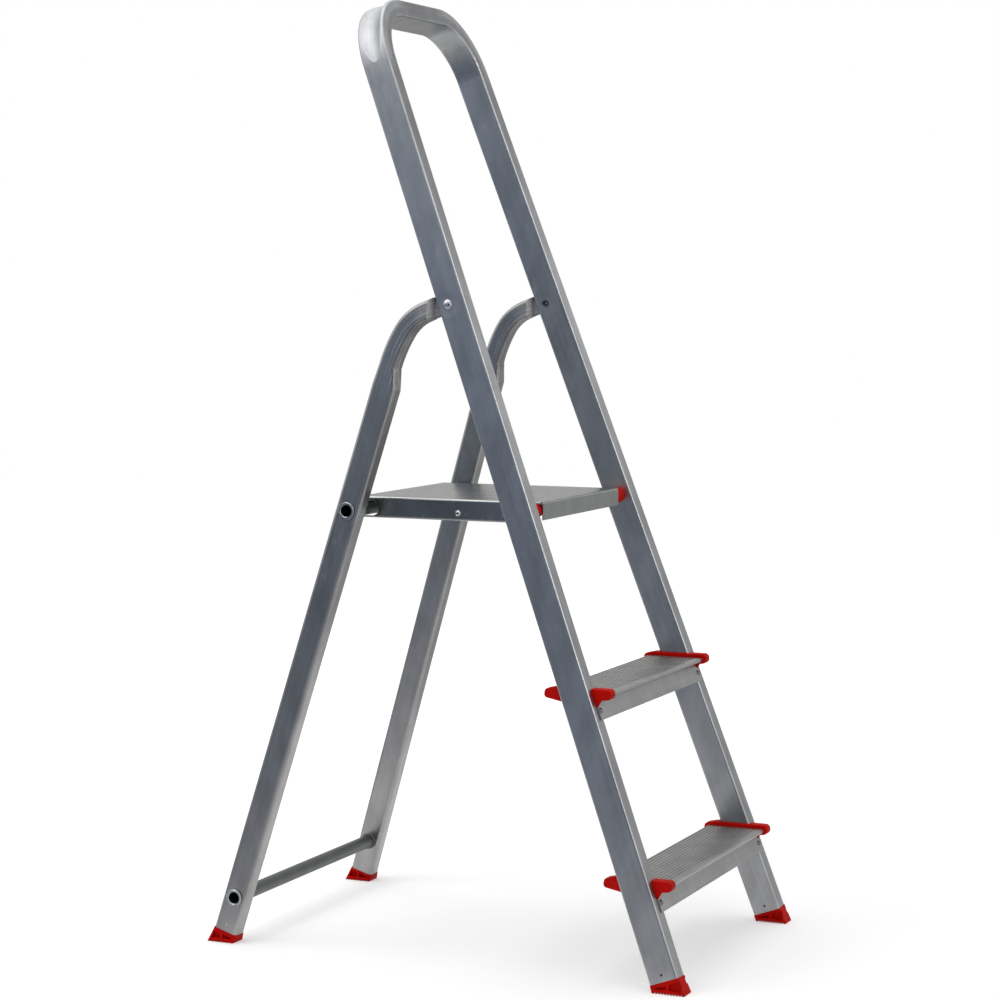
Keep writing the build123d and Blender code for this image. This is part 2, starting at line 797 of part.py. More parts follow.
# Leg pivots: solid rivets through the stiles with spacers either side of the leg end
dome_rise = pivot_dome - pivot_edge
dome_round = ((pivot_head / 2) ** 2 + dome_rise**2) / (2 * dome_rise)
dome_half = asin(pivot_head / 2 / dome_round) / 2
dome_mid_out = pivot_dome - dome_round + dome_round * cos(dome_half)
dome_mid_up = dome_round * sin(dome_half)

with BuildPart() as pivot_rivet_right:
    with BuildSketch(Plane(origin=(0, pivot_y, pivot_height), x_dir=(1, 0, 0), z_dir=(0, -1, 0))):
        with BuildLine():
            ThreePointArc(
                (pivot_seat_in - pivot_dome, 0),
                (pivot_seat_in - dome_mid_out, dome_mid_up),
                (pivot_seat_in - pivot_edge, pivot_head / 2),
            )
            Polyline(
                (pivot_seat_in - pivot_edge, pivot_head / 2),
                (pivot_seat_in, pivot_head / 2),
                (pivot_seat_in, pivot_shank / 2),
                (pivot_seat_out, pivot_shank / 2),
                (pivot_seat_out, pivot_head / 2),
                (pivot_seat_out + pivot_edge, pivot_head / 2),
            )
            ThreePointArc(
                (pivot_seat_out + pivot_edge, pivot_head / 2),
                (pivot_seat_out + dome_mid_out, dome_mid_up),
                (pivot_seat_out + pivot_dome, 0),
            )
            Line((pivot_seat_out + pivot_dome, 0), (pivot_seat_in - pivot_dome, 0))
        make_face()
    revolve(axis=Axis((0, pivot_y, pivot_height), (1, 0, 0)))

with BuildPart() as leg_pivot_rivets:
    add(pivot_rivet_right.part)
    add(mirror(pivot_rivet_right.part, about=Plane.YZ))

spacer_near = leg_end_thick / 2 + spacer_dia / 2 * tan(tilt) + spacer_gap
spacer_far = stile_width / 2 - stile_wall - spacer_dia / 2 * tan(tilt) - sheet_gap

with BuildPart() as pivot_spacers:
    for middle in (pivot_x, -pivot_x):
        for face in (middle + spacer_near, middle - spacer_far):
            with BuildSketch(Plane.YZ.offset(face)):
                with Locations((pivot_y, pivot_height)):
                    Circle(spacer_dia / 2)
                    Circle(pivot_shank / 2 + tight_gap, mode=Mode.SUBTRACT)
            extrude(amount=spacer_far - spacer_near)

# Tread profile: drawn back from the stile's front face and up from the tread top
flange_gap = fit_gap / cos(lean)
flange_flat = flange_sheet / cos(lean)
rear_face = 2 * half_flat
rear_flange = rear_face + flange_gap
notch_drop = 2 * flange_drop

with BuildSketch(Plane.YZ) as tread_section:
    with Locations(((tread_rear - tread_front) / 2, -tread_sheet / 2)):
        Rectangle(tread_front + tread_rear - bead_dia, tread_sheet)
    with Locations((bead_dia / 2 - tread_front, -bead_dia / 2), (tread_rear - bead_dia / 2, -bead_dia / 2)):
        Circle(bead_dia / 2)
    Polygon(
        (-flange_gap, 0),
        (-flange_gap - flange_flat, 0),
        (-flange_gap - flange_flat - flange_drop * slant, -flange_drop),
        (-flange_gap - flange_drop * slant, -flange_drop),
        align=None,
    )
    Polygon(
        (rear_flange, 0),
        (rear_flange + flange_flat, 0),
        (rear_flange + flange_flat - rear_flange_drop * slant, -rear_flange_drop),
        (rear_flange - rear_flange_drop * slant, -rear_flange_drop),
        align=None,
    )

with BuildSketch(Plane.YZ) as tread_notch:
    Polygon(
        (-flange_gap / 2 + notch_rise * slant, notch_rise),
        (rear_face + flange_gap / 2 + notch_rise * slant, notch_rise),
        (rear_face + flange_gap / 2 - notch_drop * slant, -notch_drop),
        (-flange_gap / 2 - notch_drop * slant, -notch_drop),
        align=None,
    )

rib_start = nose_plain - tread_front
rib_end = tread_rear - bead_dia
with BuildSketch(Plane.YZ) as tread_grooves:
    with Locations(((rib_start + rib_end) / 2, 0)):
        with GridLocations(rib_pitch, 0, int((rib_end - rib_start) / rib_pitch) + 1, 1):
            Rectangle(rib_wide, 2 * rib_cut)

with BuildSketch(Plane.YZ) as cap_outline:
    Polygon(
        (-cap_nose, cap_rise),
        (-cap_nose, -cap_nose_low),
        (-cap_root, -cap_root_low),
        (cap_belly, -cap_belly_low),
        (cap_tail, -cap_tail_low),
        (cap_tail_top, cap_tail_rise),
        (cap_slope, cap_rise),
        align=None,
    )
    nose_corners = cap_outline.vertices().sort_by(Axis.X)[:2]
    fillet(nose_corners, cap_nose_round)
    tail_corners = cap_outline.vertices().sort_by(Axis.X)[-2:]
    fillet(tail_corners, cap_tail_round)

with BuildSketch(Plane.YZ) as cap_fin:
    Polygon(
        (-cap_root, -cap_fin_root),
        (-flange_gap, -cap_fin_root),
        (-cap_fin_tip, -cap_fin_drop),
        align=None,
    )


def tread_blank(top):
    """A tread notched round the stiles, before its grooves and holes are cut."""
    place = Location((0, stile_front(top), top))
    end = inner_x(top)
    with BuildPart() as form:
        extrude(tread_section.sketch.moved(place), amount=end + flange_over, both=True)
        for side in (1, -1):
            notch_place = place * Location((side * (end - cap_wall - fit_gap), 0, 0))
            extrude(tread_notch.sketch.moved(notch_place), amount=side * stile_depth, mode=Mode.SUBTRACT)
            with Locations((side * (end + tread_over + stile_depth / 2), stile_front(top), top)):
                Box(stile_depth, 4 * tread_rear, 2 * tread_end_drop, mode=Mode.SUBTRACT)
    return form.part


def tread_cap(top, blank):
    """A right end cap, cut round the stile and the tread end."""
    place = Location((0, stile_front(top), top))
    end = inner_x(top)
    stile_spot = Vector(stile_x(top), stile_y(top), top)
    stile_place = Plane(origin=stile_spot, x_dir=stile_front_dir, z_dir=stile_up)
    with BuildPart() as form:
        extrude(
            cap_outline.sketch.moved(place * Location((end - cap_inset, 0, 0))), amount=cap_inset + cap_over
        )
        ends = form.faces().filter_by(Axis.X).edges()
        fillet(ends, cap_edge)
        extrude(
            cap_fin.sketch.moved(place * Location((end + tread_over + fit_gap, 0, 0))),
            amount=cap_over - tread_over - fit_gap,
        )
        with Locations(stile_place.location):
            Box(stile_depth + 2 * fit_gap, stile_width + 2 * fit_gap, step_rise, mode=Mode.SUBTRACT)
        add(blank, mode=Mode.SUBTRACT)
    return form.part


lower_blank = tread_blank(lower_top)
upper_blank = tread_blank(upper_top)
lower_cap = tread_cap(lower_top, lower_blank)
upper_cap = tread_cap(upper_top, upper_blank)
lower_grooves = tread_grooves.sketch.moved(Location((0, stile_front(lower_top), lower_top)))
upper_grooves = tread_grooves.sketch.moved(Location((0, stile_front(upper_top), upper_top)))

with BuildPart() as lower_tread:
    add(lower_blank)
    extrude(lower_grooves, amount=reach_all, both=True, mode=Mode.SUBTRACT)
    with Locations(*tread_rivet_places(lower_top)):
        Cylinder(pop_dia / 2 + tight_gap, pop_reach, mode=Mode.SUBTRACT)

with BuildPart() as upper_tread:
    add(upper_blank)
    extrude(upper_grooves, amount=reach_all, both=True, mode=Mode.SUBTRACT)
    with Locations(*tread_rivet_places(upper_top)):
        Cylinder(pop_dia / 2 + tight_gap, pop_reach, mode=Mode.SUBTRACT)

with BuildPart() as lower_tread_cap_right:
    add(lower_cap)

with BuildPart() as lower_tread_cap_left:
    add(mirror(lower_cap, about=Plane.YZ))

with BuildPart() as upper_tread_cap_right:
    add(upper_cap)

with BuildPart() as upper_tread_cap_left:
    add(mirror(upper_cap, about=Plane.YZ))

for name, body in (
    ("front_frame", front_frame),
    ("front_foot_right", front_foot_right),
    ("front_foot_left", front_foot_left),
    ("rear_leg_right", rear_leg_right),
    ("rear_leg_left", rear_leg_left),
    ("rear_foot_right", rear_foot_right),
    ("rear_foot_left", rear_foot_left),
    ("upper_cross_tube", upper_cross_tube),
    ("lower_cross_tube", lower_cross_tube),
    ("platform", platform),
    ("platform_stiffener", platform_stiffener),
    ("stiffener_rivets", stiffener_rivets),
    ("platform_bush_right", platform_bush_right),
    ("platform_bush_left", platform_bush_left),
    ("bush_rivets", bush_rivets),
    ("leg_pivot_rivets", leg_pivot_rivets),
    ("pivot_spacers", pivot_spacers),
    ("lower_tread", lower_tread),
    ("upper_tread", upper_tread),
    ("tread_rivets", tread_rivets),
    ("lower_tread_cap_right", lower_tread_cap_right),
    ("lower_tread_cap_left", lower_tread_cap_left),
    ("upper_tread_cap_right", upper_tread_cap_right),
    ("upper_tread_cap_left", upper_tread_cap_left),
):
    body.part.label = name
    print(name, "volume", round(body.part.volume), "solids", len(body.part.solids()), body.part.is_valid)
    export_step(body.part, "parts/" + name + ".step")
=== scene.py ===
"""Dress the folding platform step ladder: studio, camera, finishes and fine detail pieces."""
import logging
import math
from collections.abc import Callable
from dataclasses import dataclass
from enum import Enum

import bpy
from mathutils import Matrix, Vector


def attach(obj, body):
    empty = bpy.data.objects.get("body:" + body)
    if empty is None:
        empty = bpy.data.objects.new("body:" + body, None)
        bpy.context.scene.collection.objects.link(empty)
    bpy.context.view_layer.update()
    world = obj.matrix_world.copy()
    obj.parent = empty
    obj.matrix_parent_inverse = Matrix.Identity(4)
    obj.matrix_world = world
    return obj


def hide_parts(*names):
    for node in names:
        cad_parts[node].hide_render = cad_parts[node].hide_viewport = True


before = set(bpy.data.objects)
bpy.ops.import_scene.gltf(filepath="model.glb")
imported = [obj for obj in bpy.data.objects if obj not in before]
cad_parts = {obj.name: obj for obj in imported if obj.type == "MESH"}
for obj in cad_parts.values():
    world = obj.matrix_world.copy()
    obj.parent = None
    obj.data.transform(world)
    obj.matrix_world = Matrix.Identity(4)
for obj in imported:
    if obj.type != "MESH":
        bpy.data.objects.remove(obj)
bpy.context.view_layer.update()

LOG = logging.getLogger("step_ladder")
MM = 0.001

# Angles and places that the solids are built to, in radians and metres
STILE_LEAN = math.radians(20.25)
LEG_BACK = math.radians(16.85)
SPLAY = math.radians(2.73)
FRAME_BACK = -0.326172
PIVOT = (0.002523, 0.8745)

# Range that holds nearly all values of a noise
NOISE_SPAN = (0.3, 0.7)

Socket = bpy.types.NodeSocket
Node = bpy.types.Node
Tree = bpy.types.NodeTree
Piece = bpy.types.Object
Material = bpy.types.Material
Pair = tuple[float, float]
Triple = tuple[float, float, float]
Seat = tuple[Vector, Vector]


class Run(Enum):
    """How the drawing or rolling lines of a piece run."""

    HOOP = "along the stiles and round the hand hoop"
    LEG = "along the rear legs"
    ACROSS = "across the ladder"
    SHEET = "back over the platform and down its front"


class Kit:
    """Small helpers for node trees."""

    @staticmethod
    def link(tree: Tree, source: Socket, target: Socket) -> None:
        """Join two sockets of one tree."""
        tree.links.new(source, target)

    @staticmethod
    def node(tree: Tree, kind: str, **values: object) -> Node:
        """Add a node and set its plain attributes.

        Args:
            tree: Node tree that gets the node.
            kind: Blender's node type name.
            values: Attributes to set on the node.

        Returns:
            The new node.
        """
        made = tree.nodes.new(kind)
        for name, value in values.items():
            setattr(made, name, value)
        return made

    @staticmethod
    def begin(name: str) -> tuple[Material, Tree, Node, Socket]:
        """Start a material.

        Args:
            name: Name of the material.

        Returns:
            The material, its node tree, its shader and the Object coordinates.
        """
        made = bpy.data.materials.new(name)
        made.use_nodes = True
        tree = made.node_tree
        spot = Kit.node(tree, "ShaderNodeTexCoord").outputs["Object"]
        return made, tree, tree.nodes["Principled BSDF"], spot

    @staticmethod
    def fill(tree: Tree, socket: Socket, value: object) -> None:
        """Link a socket or set its number.

        Args:
            tree: Node tree of the socket.
            socket: Input to fill.
            value: Socket, number or tuple.
        """
        if isinstance(value, Socket):
            tree.links.new(value, socket)
        else:
            socket.default_value = value

    @staticmethod
    def maths(tree: Tree, how: str, first: object, second: object = None) -> Socket:
        """Add a Math node.

        Args:
            tree: Node tree that gets the node.
            how: Operation name.
            first: Socket or number.
            second: Socket or number, or None.

        Returns:
            The node's value socket.
        """
        made = Kit.node(tree, "ShaderNodeMath", operation=how)
        Kit.fill(tree, made.inputs[0], first)
        if second is not None:
            Kit.fill(tree, made.inputs[1], second)
        return made.outputs[0]

    @staticmethod
    def plus(tree: Tree, first: object, second: object) -> Socket:
        """Add two values."""
        return Kit.maths(tree, "ADD", first, second)

    @staticmethod
    def minus(tree: Tree, first: object, second: object) -> Socket:
        """Take the second value from the first."""
        return Kit.maths(tree, "SUBTRACT", first, second)

    @staticmethod
    def times(tree: Tree, first: object, second: object) -> Socket:
        """Multiply two values."""
        return Kit.maths(tree, "MULTIPLY", first, second)

    @staticmethod
    def vectors(tree: Tree, how: str, first: object, second: object = None) -> Node:
        """Add a Vector Math node.

        Args:
            tree: Node tree that gets the node.
            how: Operation name.
            first: Socket or tuple.
            second: Socket or tuple, or None.

        Returns:
            The node.
        """
        made = Kit.node(tree, "ShaderNodeVectorMath", operation=how)
        Kit.fill(tree, made.inputs[0], first)
        if second is not None:
            Kit.fill(tree, made.inputs[1], second)
        return made

    @staticmethod
    def measure(tree: Tree, how: str, first: object, second: object = None) -> Socket:
        """Add a Vector Math node that gives a number."""
        return Kit.vectors(tree, how, first, second).outputs["Value"]

    @staticmethod
    def apart(tree: Tree, vector: Socket) -> tuple[Socket, ...]:
        """Split a vector.

        Args:
            tree: Node tree that gets the node.
            vector: Vector to split.

        Returns:
            Its X, Y and Z sockets.
        """
        made = Kit.node(tree, "ShaderNodeSeparateXYZ")
        Kit.link(tree, vector, made.inputs[0])
        return tuple(made.outputs)

    @staticmethod
    def joined(tree: Tree, first: object, second: object, third: object) -> Socket:
        """Combine three values to a vector.

        Args:
            tree: Node tree that gets the node.
            first: Socket or number for X.
            second: Socket or number for Y.
            third: Socket or number for Z.

        Returns:
            The vector socket.
        """
        made = Kit.node(tree, "ShaderNodeCombineXYZ")
        for place, value in enumerate((first, second, third)):
            Kit.fill(tree, made.inputs[place], value)
        return made.outputs[0]

    @staticmethod
    def ramp(tree: Tree, value: Socket, span: Pair, result: Pair = (0.0, 1.0)) -> Socket:
        """Map a value smoothly from one range to another, held at both ends.

        Args:
            tree: Node tree that gets the node.
            value: Socket to map.
            span: Start and end of the input range.
            result: Output at the start and at the end.

        Returns:
            The mapped value socket.
        """
        made = Kit.node(tree, "ShaderNodeMapRange", clamp=True, interpolation_type="SMOOTHSTEP")
        Kit.link(tree, value, made.inputs["Value"])
        for name, number in zip(("From Min", "From Max", "To Min", "To Max"), (*span, *result)):
            made.inputs[name].default_value = number
        return made.outputs["Result"]

    @staticmethod
    def noise(tree: Tree, vector: Socket, grain: Triple, detail: float) -> Socket:
        """Add noise with its own fineness along each axis.

        Args:
            tree: Node tree that gets the nodes.
            vector: Place socket in metres.
            grain: Cycles per metre along each axis.
            detail: Number of octaves.

        Returns:
            The noise value socket.
        """
        made = Kit.node(tree, "ShaderNodeTexNoise")
        made.inputs["Scale"].default_value = 1.0
        made.inputs["Detail"].default_value = detail
        stretched = Kit.vectors(tree, "MULTIPLY", vector, grain).outputs[0]
        Kit.link(tree, stretched, made.inputs["Vector"])
        return made.outputs["Fac"]

    @staticmethod
    def bump(tree: Tree, height: Socket, size: Pair, under: Socket | None = None) -> Socket:
        """Add a Bump node.

        Args:
            tree: Node tree that gets the node.
            height: Height socket.
            size: Share of the effect, and depth in metres.
            under: Normal of an earlier bump, or None.

        Returns:
            The normal socket.
        """
        made = Kit.node(tree, "ShaderNodeBump")
        made.inputs["Strength"].default_value, made.inputs["Distance"].default_value = size
        Kit.link(tree, height, made.inputs["Height"])
        if under is not None:
            Kit.link(tree, under, made.inputs["Normal"])
        return made.outputs[0]

    @staticmethod
    def tint(tree: Tree, shader: Node, tone: Triple, shade: Socket) -> None:
        """Colour a shader with a tone that a varying shade scales.

        Args:
            tree: The material's node tree.
            shader: Shader that gets the colour.
            tone: Plain colour.
            shade: Scale of the colour over the surface.
        """
        colour = Kit.vectors(tree, "SCALE", tone)
        Kit.link(tree, shade, colour.inputs["Scale"])
        Kit.link(tree, colour.outputs[0], shader.inputs["Base Color"])


@dataclass
class Effects:
    """Node groups that the finishes share, each built once.

    Grains are in cycles per metre, places, lengths and radii in metres.
    """

    line_grain: Triple = (2400.0, 2400.0, 6.0)
    streak_grain: Triple = (420.0, 420.0, 2.2)
    cloud_grain: Triple = (34.0, 34.0, 17.0)
    rub_grain: Triple = (95.0, 95.0, 60.0)
    rub_span: Pair = (0.6, 0.72)
    scratch_grain: Triple = (900.0, 900.0, 14.0)
    scratch_turn: Triple = (0.9, 0.5, 0.3)
    scratch_span: Pair = (0.74, 0.79)
    hoop_half: float = 0.064146
    hoop_bend_up: float = 1.26791
    hoop_radius: float = 0.084
    hoop_bend_span: Pair = (-0.02, 0.015)
    hoop_outside_span: Pair = (-0.004, 0.004)
    leg_foot: Pair = (0.08719, 0.79246)
    leg_bends: tuple[tuple[float, float, Pair], ...] = (
        (LEG_BACK, 0.19, (-0.09465, 0.73739)),
        (math.radians(32.0), 0.062, (0.0139, 0.80521)),
    )
    crease_inner_span: Pair = (-0.012, 0.006)
    crease_inner_share: Pair = (1.0, 0.15)
    crease_rise_span: Pair = (-0.06, 0.02)
    press_span: Pair = (0.034, 0.058)
    dent_span: Pair = (0.35, 1.0)

    def __post_init__(self) -> None:
        """Build each group."""
        self.die_lines = self._die_lines()
        self.handling = self._handling()
        self.hoop_run = self._hoop_run()
        self.leg_run = self._leg_run()
        self.dent = self._dent()

    @staticmethod
    def _group(name: str, inputs: list[str], outputs: list[str]) -> tuple[Tree, Node, Node]:
        """Start a group with named sockets.

        Args:
            name: Name of the group.
            inputs: Names of the inputs. Place, Spot and Run are vectors, the rest numbers.
            outputs: Names of the outputs, of the same kinds.

        Returns:
            The tree, its input node and its output node.
        """
        tree = bpy.data.node_groups.new(name, "ShaderNodeTree")
        for side, labels in (("INPUT", inputs), ("OUTPUT", outputs)):
            for label in labels:
                kind = "Vector" if label in ("Place", "Spot", "Run") else "Float"
                tree.interface.new_socket(label, in_out=side, socket_type=f"NodeSocket{kind}")
        return tree, tree.nodes.new("NodeGroupInput"), tree.nodes.new("NodeGroupOutput")

    @staticmethod
    def use(tree: Tree, group: Tree, **values: object) -> Node:
        """Place a group in a material.

        Args:
            tree: The material's node tree.
            group: Group to place.
            values: Socket or number for each input.

        Returns:
            The group node.
        """
        made = Kit.node(tree, "ShaderNodeGroup", node_tree=group)
        for name, value in values.items():
            Kit.fill(tree, made.inputs[name], value)
        return made

    def _die_lines(self) -> Tree:
        """Long die lines that run along local Z.

        Returns:
            The group: place in, fine lines and broad streaks out.
        """
        tree, start, end = self._group("Die lines", ["Place"], ["Lines", "Streaks"])
        spot = start.outputs["Place"]
        Kit.link(tree, Kit.noise(tree, spot, self.line_grain, 2.0), end.inputs["Lines"])
        Kit.link(tree, Kit.noise(tree, spot, self.streak_grain, 4.0), end.inputs["Streaks"])
        return tree

    def _handling(self) -> Tree:
        """Cloudy oxide, small rubbed patches and thin scratches.

        Returns:
            The group: place in, cloud, rub and scratch masks out.
        """
        tree, start, end = self._group("Handling", ["Place"], ["Cloud", "Rubs", "Scratches"])
        spot = start.outputs["Place"]
        Kit.link(tree, Kit.noise(tree, spot, self.cloud_grain, 4.0), end.inputs["Cloud"])
        rubs = Kit.noise(tree, spot, self.rub_grain, 4.0)
        Kit.link(tree, Kit.ramp(tree, rubs, self.rub_span), end.inputs["Rubs"])
        slanted = Kit.node(tree, "ShaderNodeMapping")
        slanted.inputs["Rotation"].default_value = self.scratch_turn
        Kit.link(tree, spot, slanted.inputs["Vector"])
        marks = Kit.noise(tree, slanted.outputs[0], self.scratch_grain, 1.0)
        Kit.link(tree, Kit.ramp(tree, marks, self.scratch_span), end.inputs["Scratches"])
        return tree

    def _hoop_run(self) -> Tree:
        """Place in the tube's section, followed up a stile, round the bend and over the hoop.

        Returns:
            The group: place in, section place with the length along as Z, and a mask of the
            bends' outside out.
        """
        tree, start, end = self._group("Hoop run", ["Place"], ["Run", "Stretched"])
        floor_back = (0.0, FRAME_BACK, 0.0)
        moved = Kit.vectors(tree, "SUBTRACT", start.outputs["Place"], floor_back).outputs[0]
        lean_sin, lean_cos = math.sin(STILE_LEAN), math.cos(STILE_LEAN)
        out = Kit.maths(tree, "ABSOLUTE", Kit.apart(tree, moved)[0])
        up = Kit.measure(tree, "DOT_PRODUCT", moved, (0.0, lean_sin, lean_cos))
        front = Kit.measure(tree, "DOT_PRODUCT", moved, (0.0, -lean_cos, lean_sin))
        above = Kit.minus(tree, up, self.hoop_bend_up)
        below = Kit.times(tree, Kit.maths(tree, "MINIMUM", above, 0.0), math.tan(SPLAY))
        beside = Kit.minus(tree, Kit.plus(tree, out, below), self.hoop_half)
        sideways, upwards = (Kit.maths(tree, "MAXIMUM", part, 0.0) for part in (beside, above))
        reach = Kit.measure(tree, "LENGTH", Kit.joined(tree, sideways, upwards, 0.0))
        inner = Kit.maths(tree, "MINIMUM", Kit.maths(tree, "MAXIMUM", beside, above), 0.0)
        off = Kit.minus(tree, Kit.plus(tree, reach, inner), self.hoop_radius)
        Kit.link(tree, Kit.joined(tree, off, front, Kit.minus(tree, up, out)), end.inputs["Run"])
        bend = Kit.ramp(tree, Kit.maths(tree, "MINIMUM", beside, above), self.hoop_bend_span)
        outside = Kit.ramp(tree, off, self.hoop_outside_span)
        Kit.link(tree, Kit.times(tree, bend, outside), end.inputs["Stretched"])
        return tree

    def _leg_run(self) -> Tree:
        """Place in the tube's section, followed up a rear leg and round its two bends.

        Returns:
            The group: place in, section place with the height as Z, and masks of the creased
            inner side of the bends and of the pressed end out.
        """
        tree, start, end = self._group("Leg run", ["Place"], ["Run", "Crease", "Stretched"])
        across, back, height = Kit.apart(tree, start.outputs["Place"])
        out = Kit.maths(tree, "ABSOLUTE", across)
        up = Kit.maths(tree, "DIVIDE", height, math.cos(SPLAY))
        flat = Kit.joined(tree, 0.0, back, up)
        low = Kit.vectors(tree, "SUBTRACT", flat, (0.0, *self.leg_foot)).outputs[0]
        off = Kit.measure(tree, "DOT_PRODUCT", low, (0.0, math.cos(LEG_BACK), math.sin(LEG_BACK)))
        bent = []
        for angle, radius, middle in self.leg_bends:
            ray = Kit.vectors(tree, "SUBTRACT", flat, (0.0, *middle)).outputs[0]
            forward = (0.0, -math.sin(angle), math.cos(angle))
            ahead = Kit.measure(tree, "DOT_PRODUCT", ray, forward)
            past = Kit.maths(tree, "GREATER_THAN", ahead, 0.0)
            round_off = Kit.minus(tree, Kit.measure(tree, "LENGTH", ray), radius)
            change = Kit.times(tree, Kit.minus(tree, round_off, off), past)
            off = Kit.plus(tree, off, change)
            bent.append(ahead)
        wide = Kit.plus(tree, out, Kit.times(tree, height, math.tan(SPLAY)))
        Kit.link(tree, Kit.joined(tree, off, wide, up), end.inputs["Run"])
        inner = Kit.ramp(tree, off, self.crease_inner_span, self.crease_inner_share)
        rising = Kit.ramp(tree, bent[0], self.crease_rise_span)
        Kit.link(tree, Kit.times(tree, inner, rising), end.inputs["Crease"])
        middle = (0.0, PIVOT[0], PIVOT[1] / math.cos(SPLAY))
        pivot = Kit.measure(tree, "DISTANCE", flat, middle)
        Kit.link(tree, Kit.ramp(tree, pivot, self.press_span, (1.0, 0.0)), end.inputs["Stretched"])
        return tree

    def _dent(self) -> Tree:
        """A shallow round dent pressed in by a rivet through both sides.

        Returns:
            The group: place, spot and radius in, depth mask out.
        """
        tree, start, end = self._group("Pressed dent", ["Place", "Spot", "Radius"], ["Depth"])
        side_view = (0.0, 1.0, 1.0)
        flat = Kit.vectors(tree, "MULTIPLY", start.outputs["Place"], side_view).outputs[0]
        away = Kit.measure(tree, "DISTANCE", flat, start.outputs["Spot"])
        share = Kit.maths(tree, "DIVIDE", away, start.outputs["Radius"])
        Kit.link(tree, Kit.ramp(tree, share, self.dent_span, (1.0, 0.0)), end.inputs["Depth"])
        return tree


@dataclass
class Worked:
    """Masks of the areas that making a piece has changed, where it has them."""

    stretched: Socket | None = None
    folds: Socket | None = None
    rim: Socket | None = None


